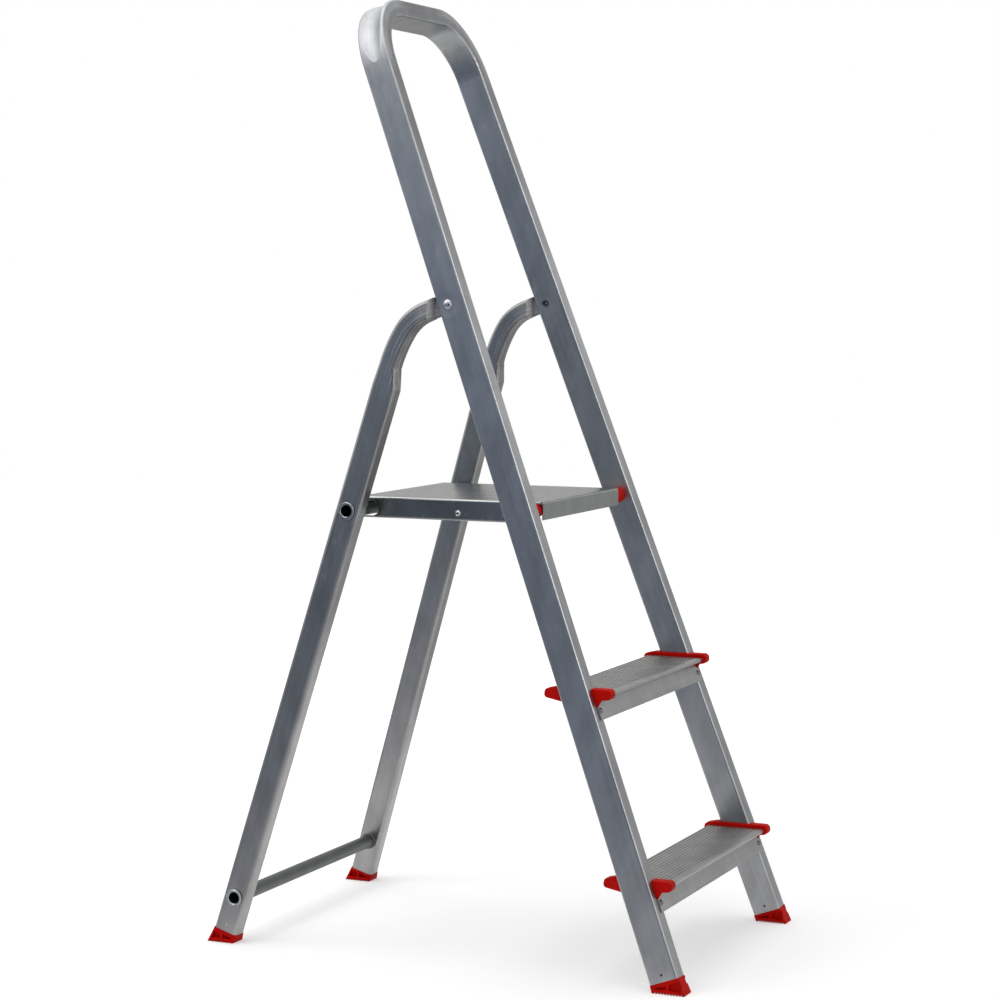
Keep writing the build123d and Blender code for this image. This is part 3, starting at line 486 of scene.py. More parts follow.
@dataclass(frozen=True)
class Aluminium:
    """Mill-finish aluminium with die lines along the piece."""

    name: str
    tone: Triple
    run: Run
    rough: float
    swing: float
    dents: tuple[tuple[Pair, float], ...] = ()
    rolled: float = 0.0
    streak_span: Pair = (0.25, 0.75)
    streak_share: float = 0.8
    cloud_share: float = 1.3
    scratch_lift: float = 0.18
    fold_grain: Triple = (240.0, 160.0, 9.0)
    # Painted shade: how much the leg creases and the pressed end near the pivot are darkened.
    fold_painted_shade: float = 0.28
    press_share: float = 0.3
    rim_edge: float = 2.0 * MM
    # Rolled tube ends: a painted highlight lifts their tone, and real polish lowers their
    # roughness.
    rim_painted_highlight: float = 0.25
    rim_polish: float = 0.3
    line_rough: float = 0.04
    rub_rough: float = 0.07
    bend_rough: float = 0.2
    line_bump: Pair = (0.05, 0.2 * MM)
    dent_bump: Pair = (0.4, 1.2 * MM)
    fold_bump: Pair = (0.8, 1.3 * MM)

    def _tube(self, tree: Tree, effects: Effects, spot: Socket) -> tuple[Socket, Worked]:
        """Follow a bent tube.

        Args:
            tree: The material's node tree.
            effects: Shared node groups.
            spot: Object coordinates.

        Returns:
            Place with Z along the tube, and the tube's worked areas.
        """
        group = effects.hoop_run if self.run is Run.HOOP else effects.leg_run
        tube = Effects.use(tree, group, Place=spot)
        place, worked = tube.outputs["Run"], Worked(stretched=tube.outputs["Stretched"])
        if self.run is Run.LEG:
            folds = Kit.ramp(tree, Kit.noise(tree, place, self.fold_grain, 1.5), NOISE_SPAN)
            worked.folds = Kit.times(tree, folds, tube.outputs["Crease"])
        return place, worked

    def _straight(self, tree: Tree, spot: Socket) -> tuple[Socket, Worked]:
        """Turn Object coordinates so that Z runs along the drawing or rolling lines.

        Args:
            tree: The material's node tree.
            spot: Object coordinates.

        Returns:
            The turned place, and the piece's worked areas.
        """
        across, back, up = Kit.apart(tree, spot)
        worked = Worked()
        if self.rolled:
            out = Kit.maths(tree, "ABSOLUTE", across)
            worked.rim = Kit.ramp(tree, out, (self.rolled - self.rim_edge, self.rolled))
        if self.run is Run.ACROSS:
            return Kit.joined(tree, back, up, across), worked
        return Kit.joined(tree, across, 0.0, Kit.minus(tree, back, up)), worked

    def _shade(self, tree: Tree, lines: Node, worn: Node, worked: Worked) -> Socket:
        """Vary the tone, with painted shade in the leg creases and on the pressed end near the
        pivot, and a painted highlight on rolled tube ends.

        Args:
            tree: The material's node tree.
            lines: Die lines.
            worn: Marks of handling.
            worked: Worked areas.

        Returns:
            Scale of the tone over the surface.
        """
        streak, cloud = self.streak_share * self.swing, self.cloud_share * self.swing
        shade = Kit.plus(
            tree,
            Kit.ramp(tree, lines.outputs["Streaks"], self.streak_span, (-streak, streak)),
            Kit.ramp(tree, worn.outputs["Cloud"], NOISE_SPAN, (1.0 - cloud, 1.0 + cloud)),
        )
        scratches = Kit.times(tree, worn.outputs["Scratches"], self.scratch_lift)
        shade = Kit.plus(tree, shade, scratches)
        # Painted shade: the leg creases and the pressed end near the pivot are darkened.
        if worked.folds is not None:
            pressed = Kit.times(tree, worked.stretched, self.press_share)
            painted_shade = Kit.plus(tree, worked.folds, pressed)
            shade = Kit.minus(tree, shade, Kit.times(tree, painted_shade, self.fold_painted_shade))
        # Painted highlight: the rolled tube ends are lightened.
        if worked.rim is not None:
            shade = Kit.plus(tree, shade, Kit.times(tree, worked.rim, self.rim_painted_highlight / self.tone[0]))
        return shade

    def _roughness(self, tree: Tree, lines: Node, worn: Node, worked: Worked) -> Socket:
        """Vary the roughness.

        Args:
            tree: The material's node tree.
            lines: Die lines.
            worn: Marks of handling.
            worked: Worked areas.

        Returns:
            Roughness over the surface.
        """
        low, high = self.rough - self.line_rough, self.rough + self.line_rough
        rough = Kit.plus(
            tree,
            Kit.ramp(tree, lines.outputs["Lines"], NOISE_SPAN, (low, high)),
            Kit.times(tree, worn.outputs["Rubs"], self.rub_rough),
        )
        if worked.stretched is not None:
            rough = Kit.plus(tree, rough, Kit.times(tree, worked.stretched, self.bend_rough))
        if worked.rim is not None:
            polish = Kit.times(tree, worked.rim, self.rim_polish * self.rough)
            rough = Kit.minus(tree, rough, polish)
        return rough

    def make(self, effects: Effects) -> Material:
        """Build the material.

        Args:
            effects: Shared node groups.

        Returns:
            The new material.
        """
        made, tree, shader, spot = Kit.begin(self.name)
        shader.inputs["Metallic"].default_value = 1.0
        if self.run in (Run.HOOP, Run.LEG):
            place, worked = self._tube(tree, effects, spot)
        else:
            place, worked = self._straight(tree, spot)
        lines = Effects.use(tree, effects.die_lines, Place=place)
        worn = Effects.use(tree, effects.handling, Place=spot)
        Kit.tint(tree, shader, self.tone, self._shade(tree, lines, worn, worked))
        rough = self._roughness(tree, lines, worn, worked)
        Kit.link(tree, rough, shader.inputs["Roughness"])
        normal = Kit.bump(tree, lines.outputs["Lines"], self.line_bump)
        for (back, up), radius in self.dents:
            dent = Effects.use(tree, effects.dent, Place=spot, Spot=(0.0, back, up), Radius=radius)
            sunk = Kit.times(tree, dent.outputs["Depth"], -1.0)
            normal = Kit.bump(tree, sunk, self.dent_bump, normal)
        if worked.folds is not None:
            normal = Kit.bump(tree, worked.folds, self.fold_bump, normal)
        Kit.link(tree, normal, shader.inputs["Normal"])
        return made


@dataclass(frozen=True)
class RivetMetal:
    """Shiny turned metal with faint smudges."""

    name: str
    tone: Triple
    rough: float
    smudge_grain: Triple = (620.0, 620.0, 620.0)
    smudge_shade: Pair = (0.88, 1.08)
    smudge_rough: Pair = (-0.05, 0.08)
    rub_shade: float = -0.1

    def make(self, effects: Effects) -> Material:
        """Build the material.

        Args:
            effects: Shared node groups.

        Returns:
            The new material.
        """
        made, tree, shader, spot = Kit.begin(self.name)
        shader.inputs["Metallic"].default_value = 1.0
        worn = Effects.use(tree, effects.handling, Place=spot)
        smudge = Kit.noise(tree, spot, self.smudge_grain, 3.0)
        shade = Kit.plus(
            tree,
            Kit.ramp(tree, smudge, NOISE_SPAN, self.smudge_shade),
            Kit.times(tree, worn.outputs["Rubs"], self.rub_shade),
        )
        Kit.tint(tree, shader, self.tone, shade)
        low, high = (self.rough + change for change in self.smudge_rough)
        rough = Kit.ramp(tree, smudge, NOISE_SPAN, (low, high))
        Kit.link(tree, rough, shader.inputs["Roughness"])
        return made


@dataclass(frozen=True)
class MouldedPlastic:
    """Moulded plastic with a fine spark-eroded grain and scuffed patches."""

    name: str
    tone: Triple
    rough: float
    gloss: float
    mould_grain: Triple = (1900.0, 1900.0, 1900.0)
    mould_bump: Pair = (0.2, 0.3 * MM)
    mould_rough: float = 0.07
    cloud_shade: Pair = (0.86, 1.1)
    rub_shade: float = 0.1

    def make(self, effects: Effects) -> Material:
        """Build the material.

        Args:
            effects: Shared node groups.

        Returns:
            The new material.
        """
        made, tree, shader, spot = Kit.begin(self.name)
        shader.inputs["Specular IOR Level"].default_value = self.gloss
        worn = Effects.use(tree, effects.handling, Place=spot)
        grain = Kit.noise(tree, spot, self.mould_grain, 2.0)
        shade = Kit.plus(
            tree,
            Kit.ramp(tree, worn.outputs["Cloud"], NOISE_SPAN, self.cloud_shade),
            Kit.times(tree, worn.outputs["Rubs"], self.rub_shade),
        )
        Kit.tint(tree, shader, self.tone, shade)
        low, high = self.rough - self.mould_rough, self.rough + self.mould_rough
        rough = Kit.ramp(tree, grain, NOISE_SPAN, (low, high))
        Kit.link(tree, rough, shader.inputs["Roughness"])
        Kit.link(tree, Kit.bump(tree, grain, self.mould_bump), shader.inputs["Normal"])
        return made


class Wardrobe:
    """All finishes of the ladder, each made once."""

    def __init__(self, effects: Effects) -> None:
        """Make the materials.

        Args:
            effects: Shared node groups.
        """
        pivot_dent = (PIVOT, 0.02)
        self.tube = Aluminium(
            "Stile aluminium", (0.37, 0.375, 0.385), Run.HOOP, 0.33, 0.08, dents=(pivot_dent,)
        ).make(effects)
        self.leg = Aluminium(
            "Leg aluminium", (0.34, 0.335, 0.335), Run.LEG, 0.32, 0.08
        ).make(effects)
        self.tread = Aluminium(
            "Tread aluminium", (0.4, 0.4, 0.395), Run.ACROSS, 0.4, 0.06
        ).make(effects)
        self.sheet = Aluminium(
            "Platform aluminium", (0.315, 0.325, 0.32), Run.SHEET, 0.24, 0.055
        ).make(effects)
        self.cross = Aluminium(
            "Cross tube aluminium", (0.14, 0.147, 0.147), Run.ACROSS, 0.48, 0.06, rolled=0.2165
        ).make(effects)
        # Painted shade: the upper cross tube is a darker copy of the cross tube finish, for the
        # shade between the legs and the platform.
        self.cross_in_painted_shade = Aluminium(
            "Cross tube in painted shade", (0.06, 0.062, 0.064), Run.ACROSS, 0.45, 0.08, rolled=0.191
        ).make(effects)
        self.rivet = RivetMetal("Rivet metal", (0.15, 0.153, 0.158), 0.12).make(effects)
        self.bright = RivetMetal("Bright rivet metal", (0.5, 0.51, 0.52), 0.1).make(effects)
        # Painted shade: near-black metal for the rivets' sunk rings, the tray rivet pins and the
        # pivot rivets' rolled ends.
        self.painted_shade_rivet = RivetMetal("Rivet painted shade", (0.04, 0.04, 0.045), 0.3).make(effects)
        self.red = MouldedPlastic("Red plastic", (0.58, 0.0035, 0.0012), 0.52, 0.06).make(effects)
        self.pale = MouldedPlastic("Pale plastic", (0.68, 0.68, 0.65), 0.5, 0.3).make(effects)


class Bench:
    """Modelling by hand: turned pieces, copies and their places."""

    smooth_angle: float = math.radians(42.0)

    @staticmethod
    def turn(name: str, outline: list[Pair], around: int) -> Piece:
        """Turn a closed piece about Z from a flat start to a flat end.

        Args:
            name: Name of the piece.
            outline: Radius and height of each ring in millimetres, from one end to the other.
            around: Number of points round.

        Returns:
            The new piece.
        """
        bpy.ops.object.select_all(action="DESELECT")
        radius, height = outline[0]
        bpy.ops.mesh.primitive_circle_add(vertices=around, radius=radius * MM, fill_type="NGON")
        piece = bpy.context.object
        piece.name = piece.data.name = name
        bpy.ops.object.mode_set(mode="EDIT")
        bpy.ops.mesh.select_all(action="SELECT")
        bpy.ops.transform.translate(value=(0.0, 0.0, height * MM))
        for next_radius, next_height in outline[1:]:
            rise = (0.0, 0.0, (next_height - height) * MM)
            bpy.ops.mesh.extrude_region_move(TRANSFORM_OT_translate={"value": rise})
            share = next_radius / radius
            middle = (0.0, 0.0, next_height * MM)
            bpy.ops.transform.resize(value=(share, share, 1.0), center_override=middle)
            radius, height = next_radius, next_height
        bpy.ops.mesh.select_all(action="SELECT")
        bpy.ops.mesh.normals_make_consistent(inside=False)
        bpy.ops.object.mode_set(mode="OBJECT")
        bpy.ops.object.shade_smooth_by_angle(angle=Bench.smooth_angle)
        return piece

    @staticmethod
    def put(piece: Piece, spot: Vector, axis: Vector) -> None:
        """Move a turned piece to its place, with its place kept in its mesh.

        Args:
            piece: Piece turned about Z.
            spot: Where its zero height goes, in metres.
            axis: Where its Z axis points.
        """
        turn = axis.to_track_quat("Z", "Y").to_matrix().to_4x4()
        piece.matrix_world = Matrix.Translation(spot) @ turn
        bpy.ops.object.select_all(action="DESELECT")
        piece.select_set(True)
        bpy.context.view_layer.objects.active = piece
        bpy.ops.object.transform_apply(location=True, rotation=True, scale=True)

    @staticmethod
    def copy(piece: Piece, name: str) -> Piece:
        """Copy a piece with its own mesh.

        Args:
            piece: Piece to copy.
            name: Name of the copy.

        Returns:
            The copy.
        """
        made = piece.copy()
        made.data = piece.data.copy()
        made.name = made.data.name = name
        bpy.context.scene.collection.objects.link(made)
        return made

    @staticmethod
    def spread(first: Piece, stem: str, seats: list[Seat], body: str) -> None:
        """Copy a fastener to each of its seats on a body.

        Args:
            first: Fastener still turned about Z, which takes the first seat.
            stem: Start of the copies' names.
            seats: Spot and outward direction of each fastener.
            body: Body that the fasteners ride on.
        """
        copies = [Bench.copy(first, f"{stem}_{count}") for count in range(2, len(seats) + 1)]
        for piece, (spot, axis) in zip([first, *copies], seats):
            Bench.put(piece, spot, axis)
            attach(piece, body)
            LOG.info("%s rides on %s", piece.name, body)

    @staticmethod
    def join(pieces: list[Piece], name: str) -> Piece:
        """Join pieces to one.

        Args:
            pieces: Pieces to join.
            name: Name of the result.

        Returns:
            The joined piece.
        """
        bpy.ops.object.select_all(action="DESELECT")
        for piece in pieces:
            piece.select_set(True)
        bpy.context.view_layer.objects.active = pieces[0]
        bpy.ops.object.join()
        pieces[0].name = pieces[0].data.name = name
        return pieces[0]

    @staticmethod
    def paint(piece: Piece, metals: list[Material], pick: Callable[[float, float], int]) -> None:
        """Give a piece several finishes.

        Args:
            piece: Piece still turned about Z.
            metals: Its finishes.
            pick: Number of the finish for a face's radius and height, in millimetres.
        """
        piece.data.materials.clear()
        for metal in metals:
            piece.data.materials.append(metal)
        for face in piece.data.polygons:
            face.material_index = pick(face.center.xy.length / MM, face.center.z / MM)

    @staticmethod
    def dress(finish: Material, nodes: tuple[str, ...]) -> None:
        """Give carried-over pieces a finish.

        Args:
            finish: Material to give.
            nodes: Names of the pieces.
        """
        for name in nodes:
            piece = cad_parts[name]
            piece.data.materials.clear()
            piece.data.materials.append(finish)
            LOG.info("%s gets %s", name, finish.name)


@dataclass
class BlindRivetTops:
    """Raised rims and broken pins in the middle of blind rivet heads."""

    body: str
    name: str
    seats: list[Seat]
    rim: tuple[Pair, ...] = (
        (2.25, 1.7), (2.25, 1.95), (2.05, 2.25), (1.75, 2.35), (1.45, 2.2), (1.3, 1.9), (0.9, 1.88),
    )
    pin: tuple[Pair, ...] = ((0.85, 2.05), (0.6, 2.2))
    rim_inside: float = 1.4
    sink_inside: float = 0.88
    around: int = 28

    def zone(self, radius: float, _height: float) -> int:
        """Finish of a face: 0 on the rim, 1 on the sunk ring, 2 on the pin."""
        return 0 if radius > self.rim_inside else 1 if radius > self.sink_inside else 2

    def build(self, rim: Material, sink: Material, pin: Material) -> None:
        """Model one top and copy it to each rivet.

        Args:
            rim: Finish of the raised rim.
            sink: Finish of the sunk ring inside it, which carries painted shade.
            pin: Finish of the broken pin.
        """
        first = Bench.turn(f"{self.name}_1", [*self.rim, *self.pin], self.around)
        Bench.paint(first, [rim, sink, pin], self.zone)
        Bench.spread(first, self.name, self.seats, self.body)


@dataclass
class PivotRivets:
    """Leg pivot rivets: a domed head outside, a rolled hollow end inside the stile."""

    seat_in: float = 152.139
    seat_out: float = 176.368
    spot: Triple = (0.0, *PIVOT)
    shank: float = 3.0
    head: float = 6.2
    edge: float = 0.5
    dome: float = 3.4
    steps: int = 7
    around: int = 48
    roll: tuple[Pair, ...] = (
        (1.2, 1.6), (1.9, 1.3), (2.2, -1.0), (2.7, -1.8),
        (3.4, -2.1), (4.2, -1.7), (4.7, -0.9), (4.75, 0.0),
    )
    bore_floor: float = 1.59

    def outline(self) -> list[Pair]:
        """Rings from the hollow end to the crown of the head.

        Returns:
            Radius and height of each ring, in millimetres from the middle of the ladder.
        """
        rings = [(radius, self.seat_in + height) for radius, height in self.roll]
        rings += [(self.shank, self.seat_in), (self.shank, self.seat_out)]
        rings += [(self.head, self.seat_out), (self.head, self.seat_out + self.edge)]
        rise = self.dome - self.edge
        ball = (self.head**2 + rise**2) / (2 * rise)
        whole = math.asin(self.head / ball)
        crown = self.seat_out + self.dome
        for step in range(self.steps - 1, 0, -1):
            angle = whole * step / self.steps
            rings.append((ball * math.sin(angle), crown - ball * (1 - math.cos(angle))))
        return rings

    def zone(self, _radius: float, height: float) -> int:
        """Finish of a face: 1 on the rolled end, 0 elsewhere."""
        return int(height < self.seat_in + self.bore_floor)

    def build(self, bright: Material, dark: Material) -> None:
        """Model one rivet, copy it and join the pair.

        Args:
            bright: Finish of the rivet.
            dark: Finish of the rolled end round its hole, which carries painted shade.
        """
        right = Bench.turn("pivot_rivets", self.outline(), self.around)
        Bench.paint(right, [bright, dark], self.zone)
        left = Bench.copy(right, "pivot_rivet_left")
        for piece, side in ((right, 1.0), (left, -1.0)):
            Bench.put(piece, Vector(self.spot), Vector((side, 0.0, 0.0)))
        pair = Bench.join([right, left], "pivot_rivets")
        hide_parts("leg_pivot_rivets")
        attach(pair, "front_frame")
        LOG.info("%s rides on front_frame", pair.name)


@dataclass
class FootPins:
    """Small pins that hold the plugs of the rear feet, one through each leg face."""

    height: float = 24.5
    leg_half: float = 12.5
    pivot_across: float = 164.2535
    leg_foot: float = 653.3772
    outline: tuple[Pair, ...] = ((1.75, -0.25), (1.75, 0.12), (1.5, 0.36), (1.0, 0.48), (0.4, 0.5))
    around: int = 24

    def seats(self) -> list[Seat]:
        """Places on the outer and inner faces of both legs.

        Returns:
            Spot and outward direction of each pin.
        """
        across = self.pivot_across + (PIVOT[1] / MM - self.height) * math.tan(SPLAY)
        along = self.height / math.cos(SPLAY)
        back = self.leg_foot + FRAME_BACK / MM - along * math.tan(LEG_BACK)
        found = []
        for side in (1, -1):
            out = Vector((side * math.cos(SPLAY), 0.0, math.sin(SPLAY)))
            middle = Vector((side * across, back, self.height))
            for face in (1, -1):
                found.append(((middle + face * self.leg_half * out) * MM, face * out))
        return found

    def build(self, bright: Material) -> None:
        """Model one pin and copy it to each face.

        Args:
            bright: Finish of the pins.
        """
        first = Bench.turn("foot_pin_1", list(self.outline), self.around)
        first.data.materials.append(bright)
        Bench.spread(first, "foot_pin", self.seats(), "rear_frame")


@dataclass
class FrontFrame:
    """Bent tube frame with treads, their end caps, feet, rests and rivets."""

    tube: tuple[str, ...] = ("front_frame",)
    treads: tuple[str, ...] = ("lower_tread", "upper_tread")
    plastics: tuple[str, ...] = (
        "front_foot_left", "front_foot_right",
        "lower_tread_cap_left", "lower_tread_cap_right",
        "upper_tread_cap_left", "upper_tread_cap_right",
        "platform_bush_left", "platform_bush_right",
    )
    rivets: tuple[str, ...] = ("tread_rivets", "leg_pivot_rivets", "bush_rivets")
    spacers: tuple[str, ...] = ("pivot_spacers",)
    tread_seats: tuple[tuple[Triple, float], ...] = (
        ((0.197473, -0.308155, 0.1124), 1.0), ((0.19729, -0.259928, 0.116), -1.0),
        ((0.185275, -0.219614, 0.3524), 1.0), ((0.185092, -0.171388, 0.356), -1.0),
    )

    def rivet_seats(self) -> list[Seat]:
        """Seats of the tread rivets on both sides.

        Returns:
            Spot and outward direction of each rivet.
        """
        ahead = Vector((0.0, -math.cos(STILE_LEAN), math.sin(STILE_LEAN)))
        return [
            (Vector((side * across, back, up)), facing * ahead)
            for (across, back, up), facing in self.tread_seats
            for side in (1, -1)
        ]

    def build(self, wardrobe: Wardrobe) -> None:
        """Dress the nodes and add the fine pieces.

        Args:
            wardrobe: Finishes.
        """
        Bench.dress(wardrobe.tube, self.tube)
        Bench.dress(wardrobe.tread, self.treads)
        Bench.dress(wardrobe.red, self.plastics)
        Bench.dress(wardrobe.rivet, self.rivets)
        Bench.dress(wardrobe.pale, self.spacers)
        # The pivot rivets' rolled ends and the tread rivets' sunk rings carry painted shade.
        PivotRivets().build(wardrobe.bright, wardrobe.painted_shade_rivet)
        tops = BlindRivetTops("front_frame", "tread_rivet_top", self.rivet_seats())
        tops.build(wardrobe.rivet, wardrobe.painted_shade_rivet, wardrobe.bright)


@dataclass
class RearFrame:
    """Rear legs with their feet and two cross tubes."""

    legs: tuple[str, ...] = ("rear_leg_left", "rear_leg_right")
    upper_tube: tuple[str, ...] = ("upper_cross_tube",)
    lower_tube: tuple[str, ...] = ("lower_cross_tube",)
    feet: tuple[str, ...] = ("rear_foot_left", "rear_foot_right")

    def build(self, wardrobe: Wardrobe) -> None:
        """Dress the nodes and add the foot pins.

        Args:
            wardrobe: Finishes.
        """
        Bench.dress(wardrobe.leg, self.legs)
        Bench.dress(wardrobe.cross, self.lower_tube)
        # The upper cross tube gets the darker copy of the cross tube finish, a painted shade.
        Bench.dress(wardrobe.cross_in_painted_shade, self.upper_tube)
        Bench.dress(wardrobe.red, self.feet)
        FootPins().build(wardrobe.bright)


@dataclass
class Platform:
    """Folded sheet platform with its stiffener."""

    sheets: tuple[str, ...] = ("platform", "platform_stiffener")
    rivets: tuple[str, ...] = ("stiffener_rivets",)
    rivet_spot: Triple = (0.1358, 0.0063956, 0.5962)

    def build(self, wardrobe: Wardrobe) -> None:
        """Dress the nodes and add the rivet tops.

        Args:
            wardrobe: Finishes.
        """
        Bench.dress(wardrobe.sheet, self.sheets)
        Bench.dress(wardrobe.bright, self.rivets)
        across, back, up = self.rivet_spot
        seats = [
            (Vector((side * across, back, up)), Vector((side, 0.0, 0.0))) for side in (1.0, -1.0)
        ]
        tops = BlindRivetTops("platform", "tray_rivet_top", seats)
        # The tray rivets' sunk rings and pins carry painted shade.
        tops.build(wardrobe.bright, wardrobe.painted_shade_rivet, wardrobe.painted_shade_rivet)


@dataclass(frozen=True)
class Lamp:
    """One soft rectangular lamp."""

    name: str
    spot: Triple
    aim: Triple
    wide: float
    tall: float
    power: float
    shine_only: bool = False

    def build(self) -> None:
        """Add the lamp."""
        data = bpy.data.lights.new(self.name, "AREA")
        data.shape = "RECTANGLE"
        data.size, data.size_y = self.wide, self.tall
        data.energy = self.power
        lamp = bpy.data.objects.new(self.name, data)
        bpy.context.scene.collection.objects.link(lamp)
        lamp.visible_diffuse = not self.shine_only
        lamp.location = self.spot
        ahead = Vector(self.aim) - Vector(self.spot)
        lamp.rotation_euler = ahead.to_track_quat("-Z", "Y").to_euler()


@dataclass(frozen=True)
class Card:
    """A toned card beside the set that only shows in reflections."""

    name: str
    foot: Pair
    end: Pair
    low: float
    high: float
    apron: float
    tone: Triple
    lift: float = 2.0 * MM

    def build(self) -> None:
        """Add the card: an upright sheet, with an apron on the floor where it has one."""
        bpy.ops.object.select_all(action="DESELECT")
        bpy.ops.mesh.primitive_plane_add(size=1.0)
        card = bpy.context.object
        card.name = self.name
        corners = [
            Vector((*end, height + self.lift))
            for height in (self.low, self.high)
            for end in (self.foot, self.end)
        ]
        for point, corner in zip(card.data.vertices, corners):
            point.co = corner
        if self.apron:
            self._apron(card, corners)
        made = bpy.data.materials.new(self.name)
        made.use_nodes = True
        tree = made.node_tree
        tree.nodes.clear()
        glow = Kit.node(tree, "ShaderNodeEmission")
        glow.inputs["Color"].default_value = (*self.tone, 1.0)
        surface = Kit.node(tree, "ShaderNodeOutputMaterial").inputs["Surface"]
        Kit.link(tree, glow.outputs[0], surface)
        card.data.materials.append(made)
        card.visible_camera = card.visible_diffuse = card.visible_shadow = False
        card.visible_transmission = card.visible_volume_scatter = False

    def _apron(self, card: Piece, corners: list[Vector]) -> None:
        """Draw the card's foot edge out along the floor towards the ladder.

        Args:
            card: The upright card.
            corners: Its corners, the foot edge first.
        """
        along = corners[1] - corners[0]
        inward = Vector((-along.y, along.x, 0.0)).normalized() * self.apron
        middle = (corners[0] + corners[1]) / 2
        if (middle + inward).xy.length > middle.xy.length:
            inward.negate()
        bpy.ops.object.mode_set(mode="EDIT")
        bpy.ops.mesh.select_mode(type="EDGE")
        bpy.ops.mesh.select_all(action="DESELECT")
        bpy.ops.object.mode_set(mode="OBJECT")
        for edge in card.data.edges:
            edge.select = set(edge.vertices) == {0, 1}
        bpy.ops.object.mode_set(mode="EDIT")
        bpy.ops.mesh.extrude_region_move(TRANSFORM_OT_translate={"value": inward})
        bpy.ops.object.mode_set(mode="OBJECT")


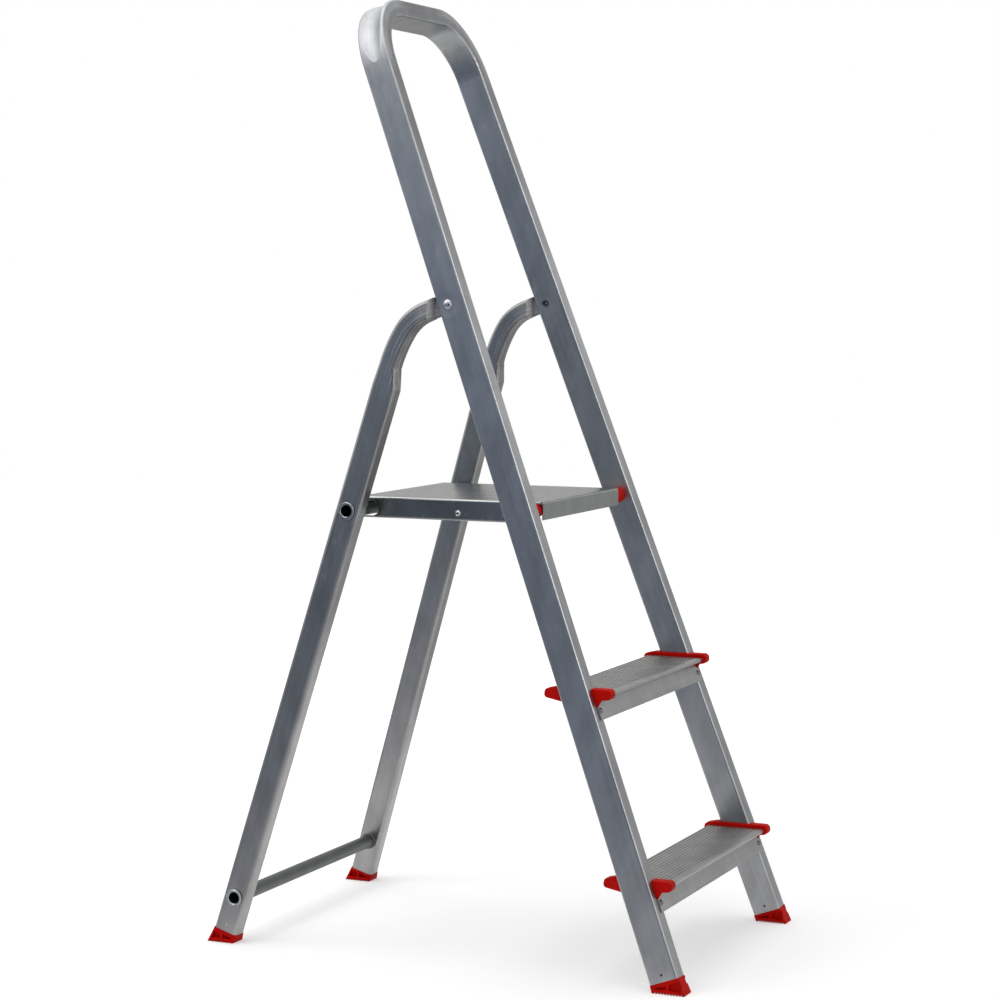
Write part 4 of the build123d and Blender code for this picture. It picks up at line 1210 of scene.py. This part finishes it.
@dataclass
class Studio:
    """Plain pale floor, soft lamps, toned cards and a white background."""

    floor_half: float = 6.0
    floor_drop: float = 0.2 * MM
    floor_tone: float = 0.9
    floor_rough: float = 0.8
    near_lift: float = 0.34
    far_lift: float = 0.6
    near_reach: float = 0.9
    far_reach: float = 2.4
    light_level: float = 0.45
    lamps: tuple[Lamp, ...] = (
        Lamp("top_softbox", (0.1, 0.3, 3.4), (0.1, 0.2, 0.5), 2.4, 2.8, 40.0),
        Lamp("rear_softbox", (-1.1, 1.5, 2.75), (0.0, 0.05, 1.2), 2.0, 1.6, 16.0),
        Lamp("corner_strip", (-0.8, -2.5, 1.9), (-0.15, 0.0, 0.9), 0.7, 1.6, 13.0, True),
    )
    cards: tuple[Card, ...] = (
        Card("left_card", (-2.4, -1.9), (-2.4, 2.8), 0.45, 1.75, 0.0, (0.26, 0.325, 0.43)),
        Card("left_low_card", (-2.4, -1.9), (-2.4, 2.8), 0.0, 0.45, 1.45, (0.3, 0.34, 0.42)),
        Card("left_floor", (-0.95, -1.9), (-0.95, 2.8), 0.0, 0.01, 0.65, (0.6, 0.6, 0.62)),
        Card("camera_card", (-2.36, -2.0), (-2.36, -0.55), 0.0, 1.6, 0.0, (0.015, 0.015, 0.018)),
        Card("low_card", (-2.34, 0.95), (-2.34, 1.7), 0.1, 0.7, 0.0, (0.03, 0.03, 0.035)),
        Card("right_card", (2.7, -2.8), (2.7, 0.1), 0.0, 1.3, 2.0, (0.5, 0.51, 0.51)),
        Card("right_upper_card", (2.65, -2.8), (2.65, 0.6), 1.75, 2.95, 0.0, (0.4, 0.4, 0.4)),
        Card("right_rear_card", (2.7, 0.1), (2.7, 2.6), 0.0, 1.4, 1.6, (0.48, 0.48, 0.47)),
        Card("rear_card", (-2.3, 2.8), (0.6, 2.8), 0.0, 0.8, 1.6, (0.3, 0.32, 0.36)),
    )

    def build(self) -> None:
        """Add the floor, the world, the lamps and the cards."""
        self._floor()
        self._world()
        for lamp in self.lamps:
            lamp.build()
        for card in self.cards:
            card.build()

    @staticmethod
    def _background_mask(tree: Tree) -> Socket:
        """Rays that should see the plain white background.

        Args:
            tree: Node tree that gets the nodes.

        Returns:
            Socket that is 1 for camera, mirror and see-through rays.
        """
        path = Kit.node(tree, "ShaderNodeLightPath").outputs
        seen = Kit.maths(tree, "MAXIMUM", path["Is Camera Ray"], path["Is Glossy Ray"])
        return Kit.maths(tree, "MAXIMUM", seen, path["Is Transmission Ray"])

    def _floor(self) -> None:
        """Add the pale floor, which fades to white away from the ladder."""
        bpy.ops.object.select_all(action="DESELECT")
        spot = (0.0, 0.0, -self.floor_drop)
        bpy.ops.mesh.primitive_plane_add(size=2 * self.floor_half, location=spot)
        floor = bpy.context.object
        floor.name = "studio_floor"
        made, tree, shader, place = Kit.begin("Pale floor")
        shader.inputs["Base Color"].default_value = (*[self.floor_tone] * 3, 1.0)
        shader.inputs["Roughness"].default_value = self.floor_rough
        shader.inputs["Specular IOR Level"].default_value = 0.0
        shader.inputs["Emission Color"].default_value = (1.0, 1.0, 1.0, 1.0)
        away = Kit.measure(tree, "LENGTH", place)
        reach, lift = (self.near_reach, self.far_reach), (self.near_lift, self.far_lift)
        glow = Kit.times(tree, Kit.ramp(tree, away, reach, lift), self._background_mask(tree))
        Kit.link(tree, glow, shader.inputs["Emission Strength"])
        floor.data.materials.append(made)

    def _world(self) -> None:
        """Set an even surround that the camera sees as white."""
        world = bpy.data.worlds.new("Studio")
        bpy.context.scene.world = world
        world.use_nodes = True
        tree = world.node_tree
        shade = tree.nodes["Background"]
        shade.inputs["Color"].default_value = (1.0, 1.0, 1.0, 1.0)
        level = Kit.ramp(tree, self._background_mask(tree), (0.0, 1.0), (self.light_level, 1.0))
        Kit.link(tree, level, shade.inputs["Strength"])


@dataclass
class PhotoCamera:
    """Camera at the photograph's place."""

    spot: Triple = (-3.2831, -1.4602, 0.8946)
    yaw: float = math.radians(65.94)
    pitch: float = math.radians(-4.62)
    lens: float = 93.97
    sensor: float = 36.0

    def build(self) -> None:
        """Add the camera and make it the scene's own."""
        data = bpy.data.cameras.new("photo_camera")
        data.lens = self.lens
        data.sensor_width = self.sensor
        camera = bpy.data.objects.new("photo_camera", data)
        bpy.context.scene.collection.objects.link(camera)
        camera.location = self.spot
        level = math.cos(self.pitch)
        across, back = math.sin(self.yaw) * level, math.cos(self.yaw) * level
        ahead = Vector((across, back, math.sin(self.pitch)))
        camera.rotation_euler = ahead.to_track_quat("-Z", "Y").to_euler()
        bpy.context.scene.camera = camera


def main() -> None:
    """Build the studio, dress the ladder and place the camera."""
    logging.basicConfig(level=logging.INFO, format="%(name)s: %(message)s")
    bpy.context.scene.view_settings.view_transform = "Standard"
    Studio().build()
    wardrobe = Wardrobe(Effects())
    for part in (FrontFrame(), RearFrame(), Platform()):
        part.build(wardrobe)
    PhotoCamera().build()


if __name__ == "__main__":
    main()
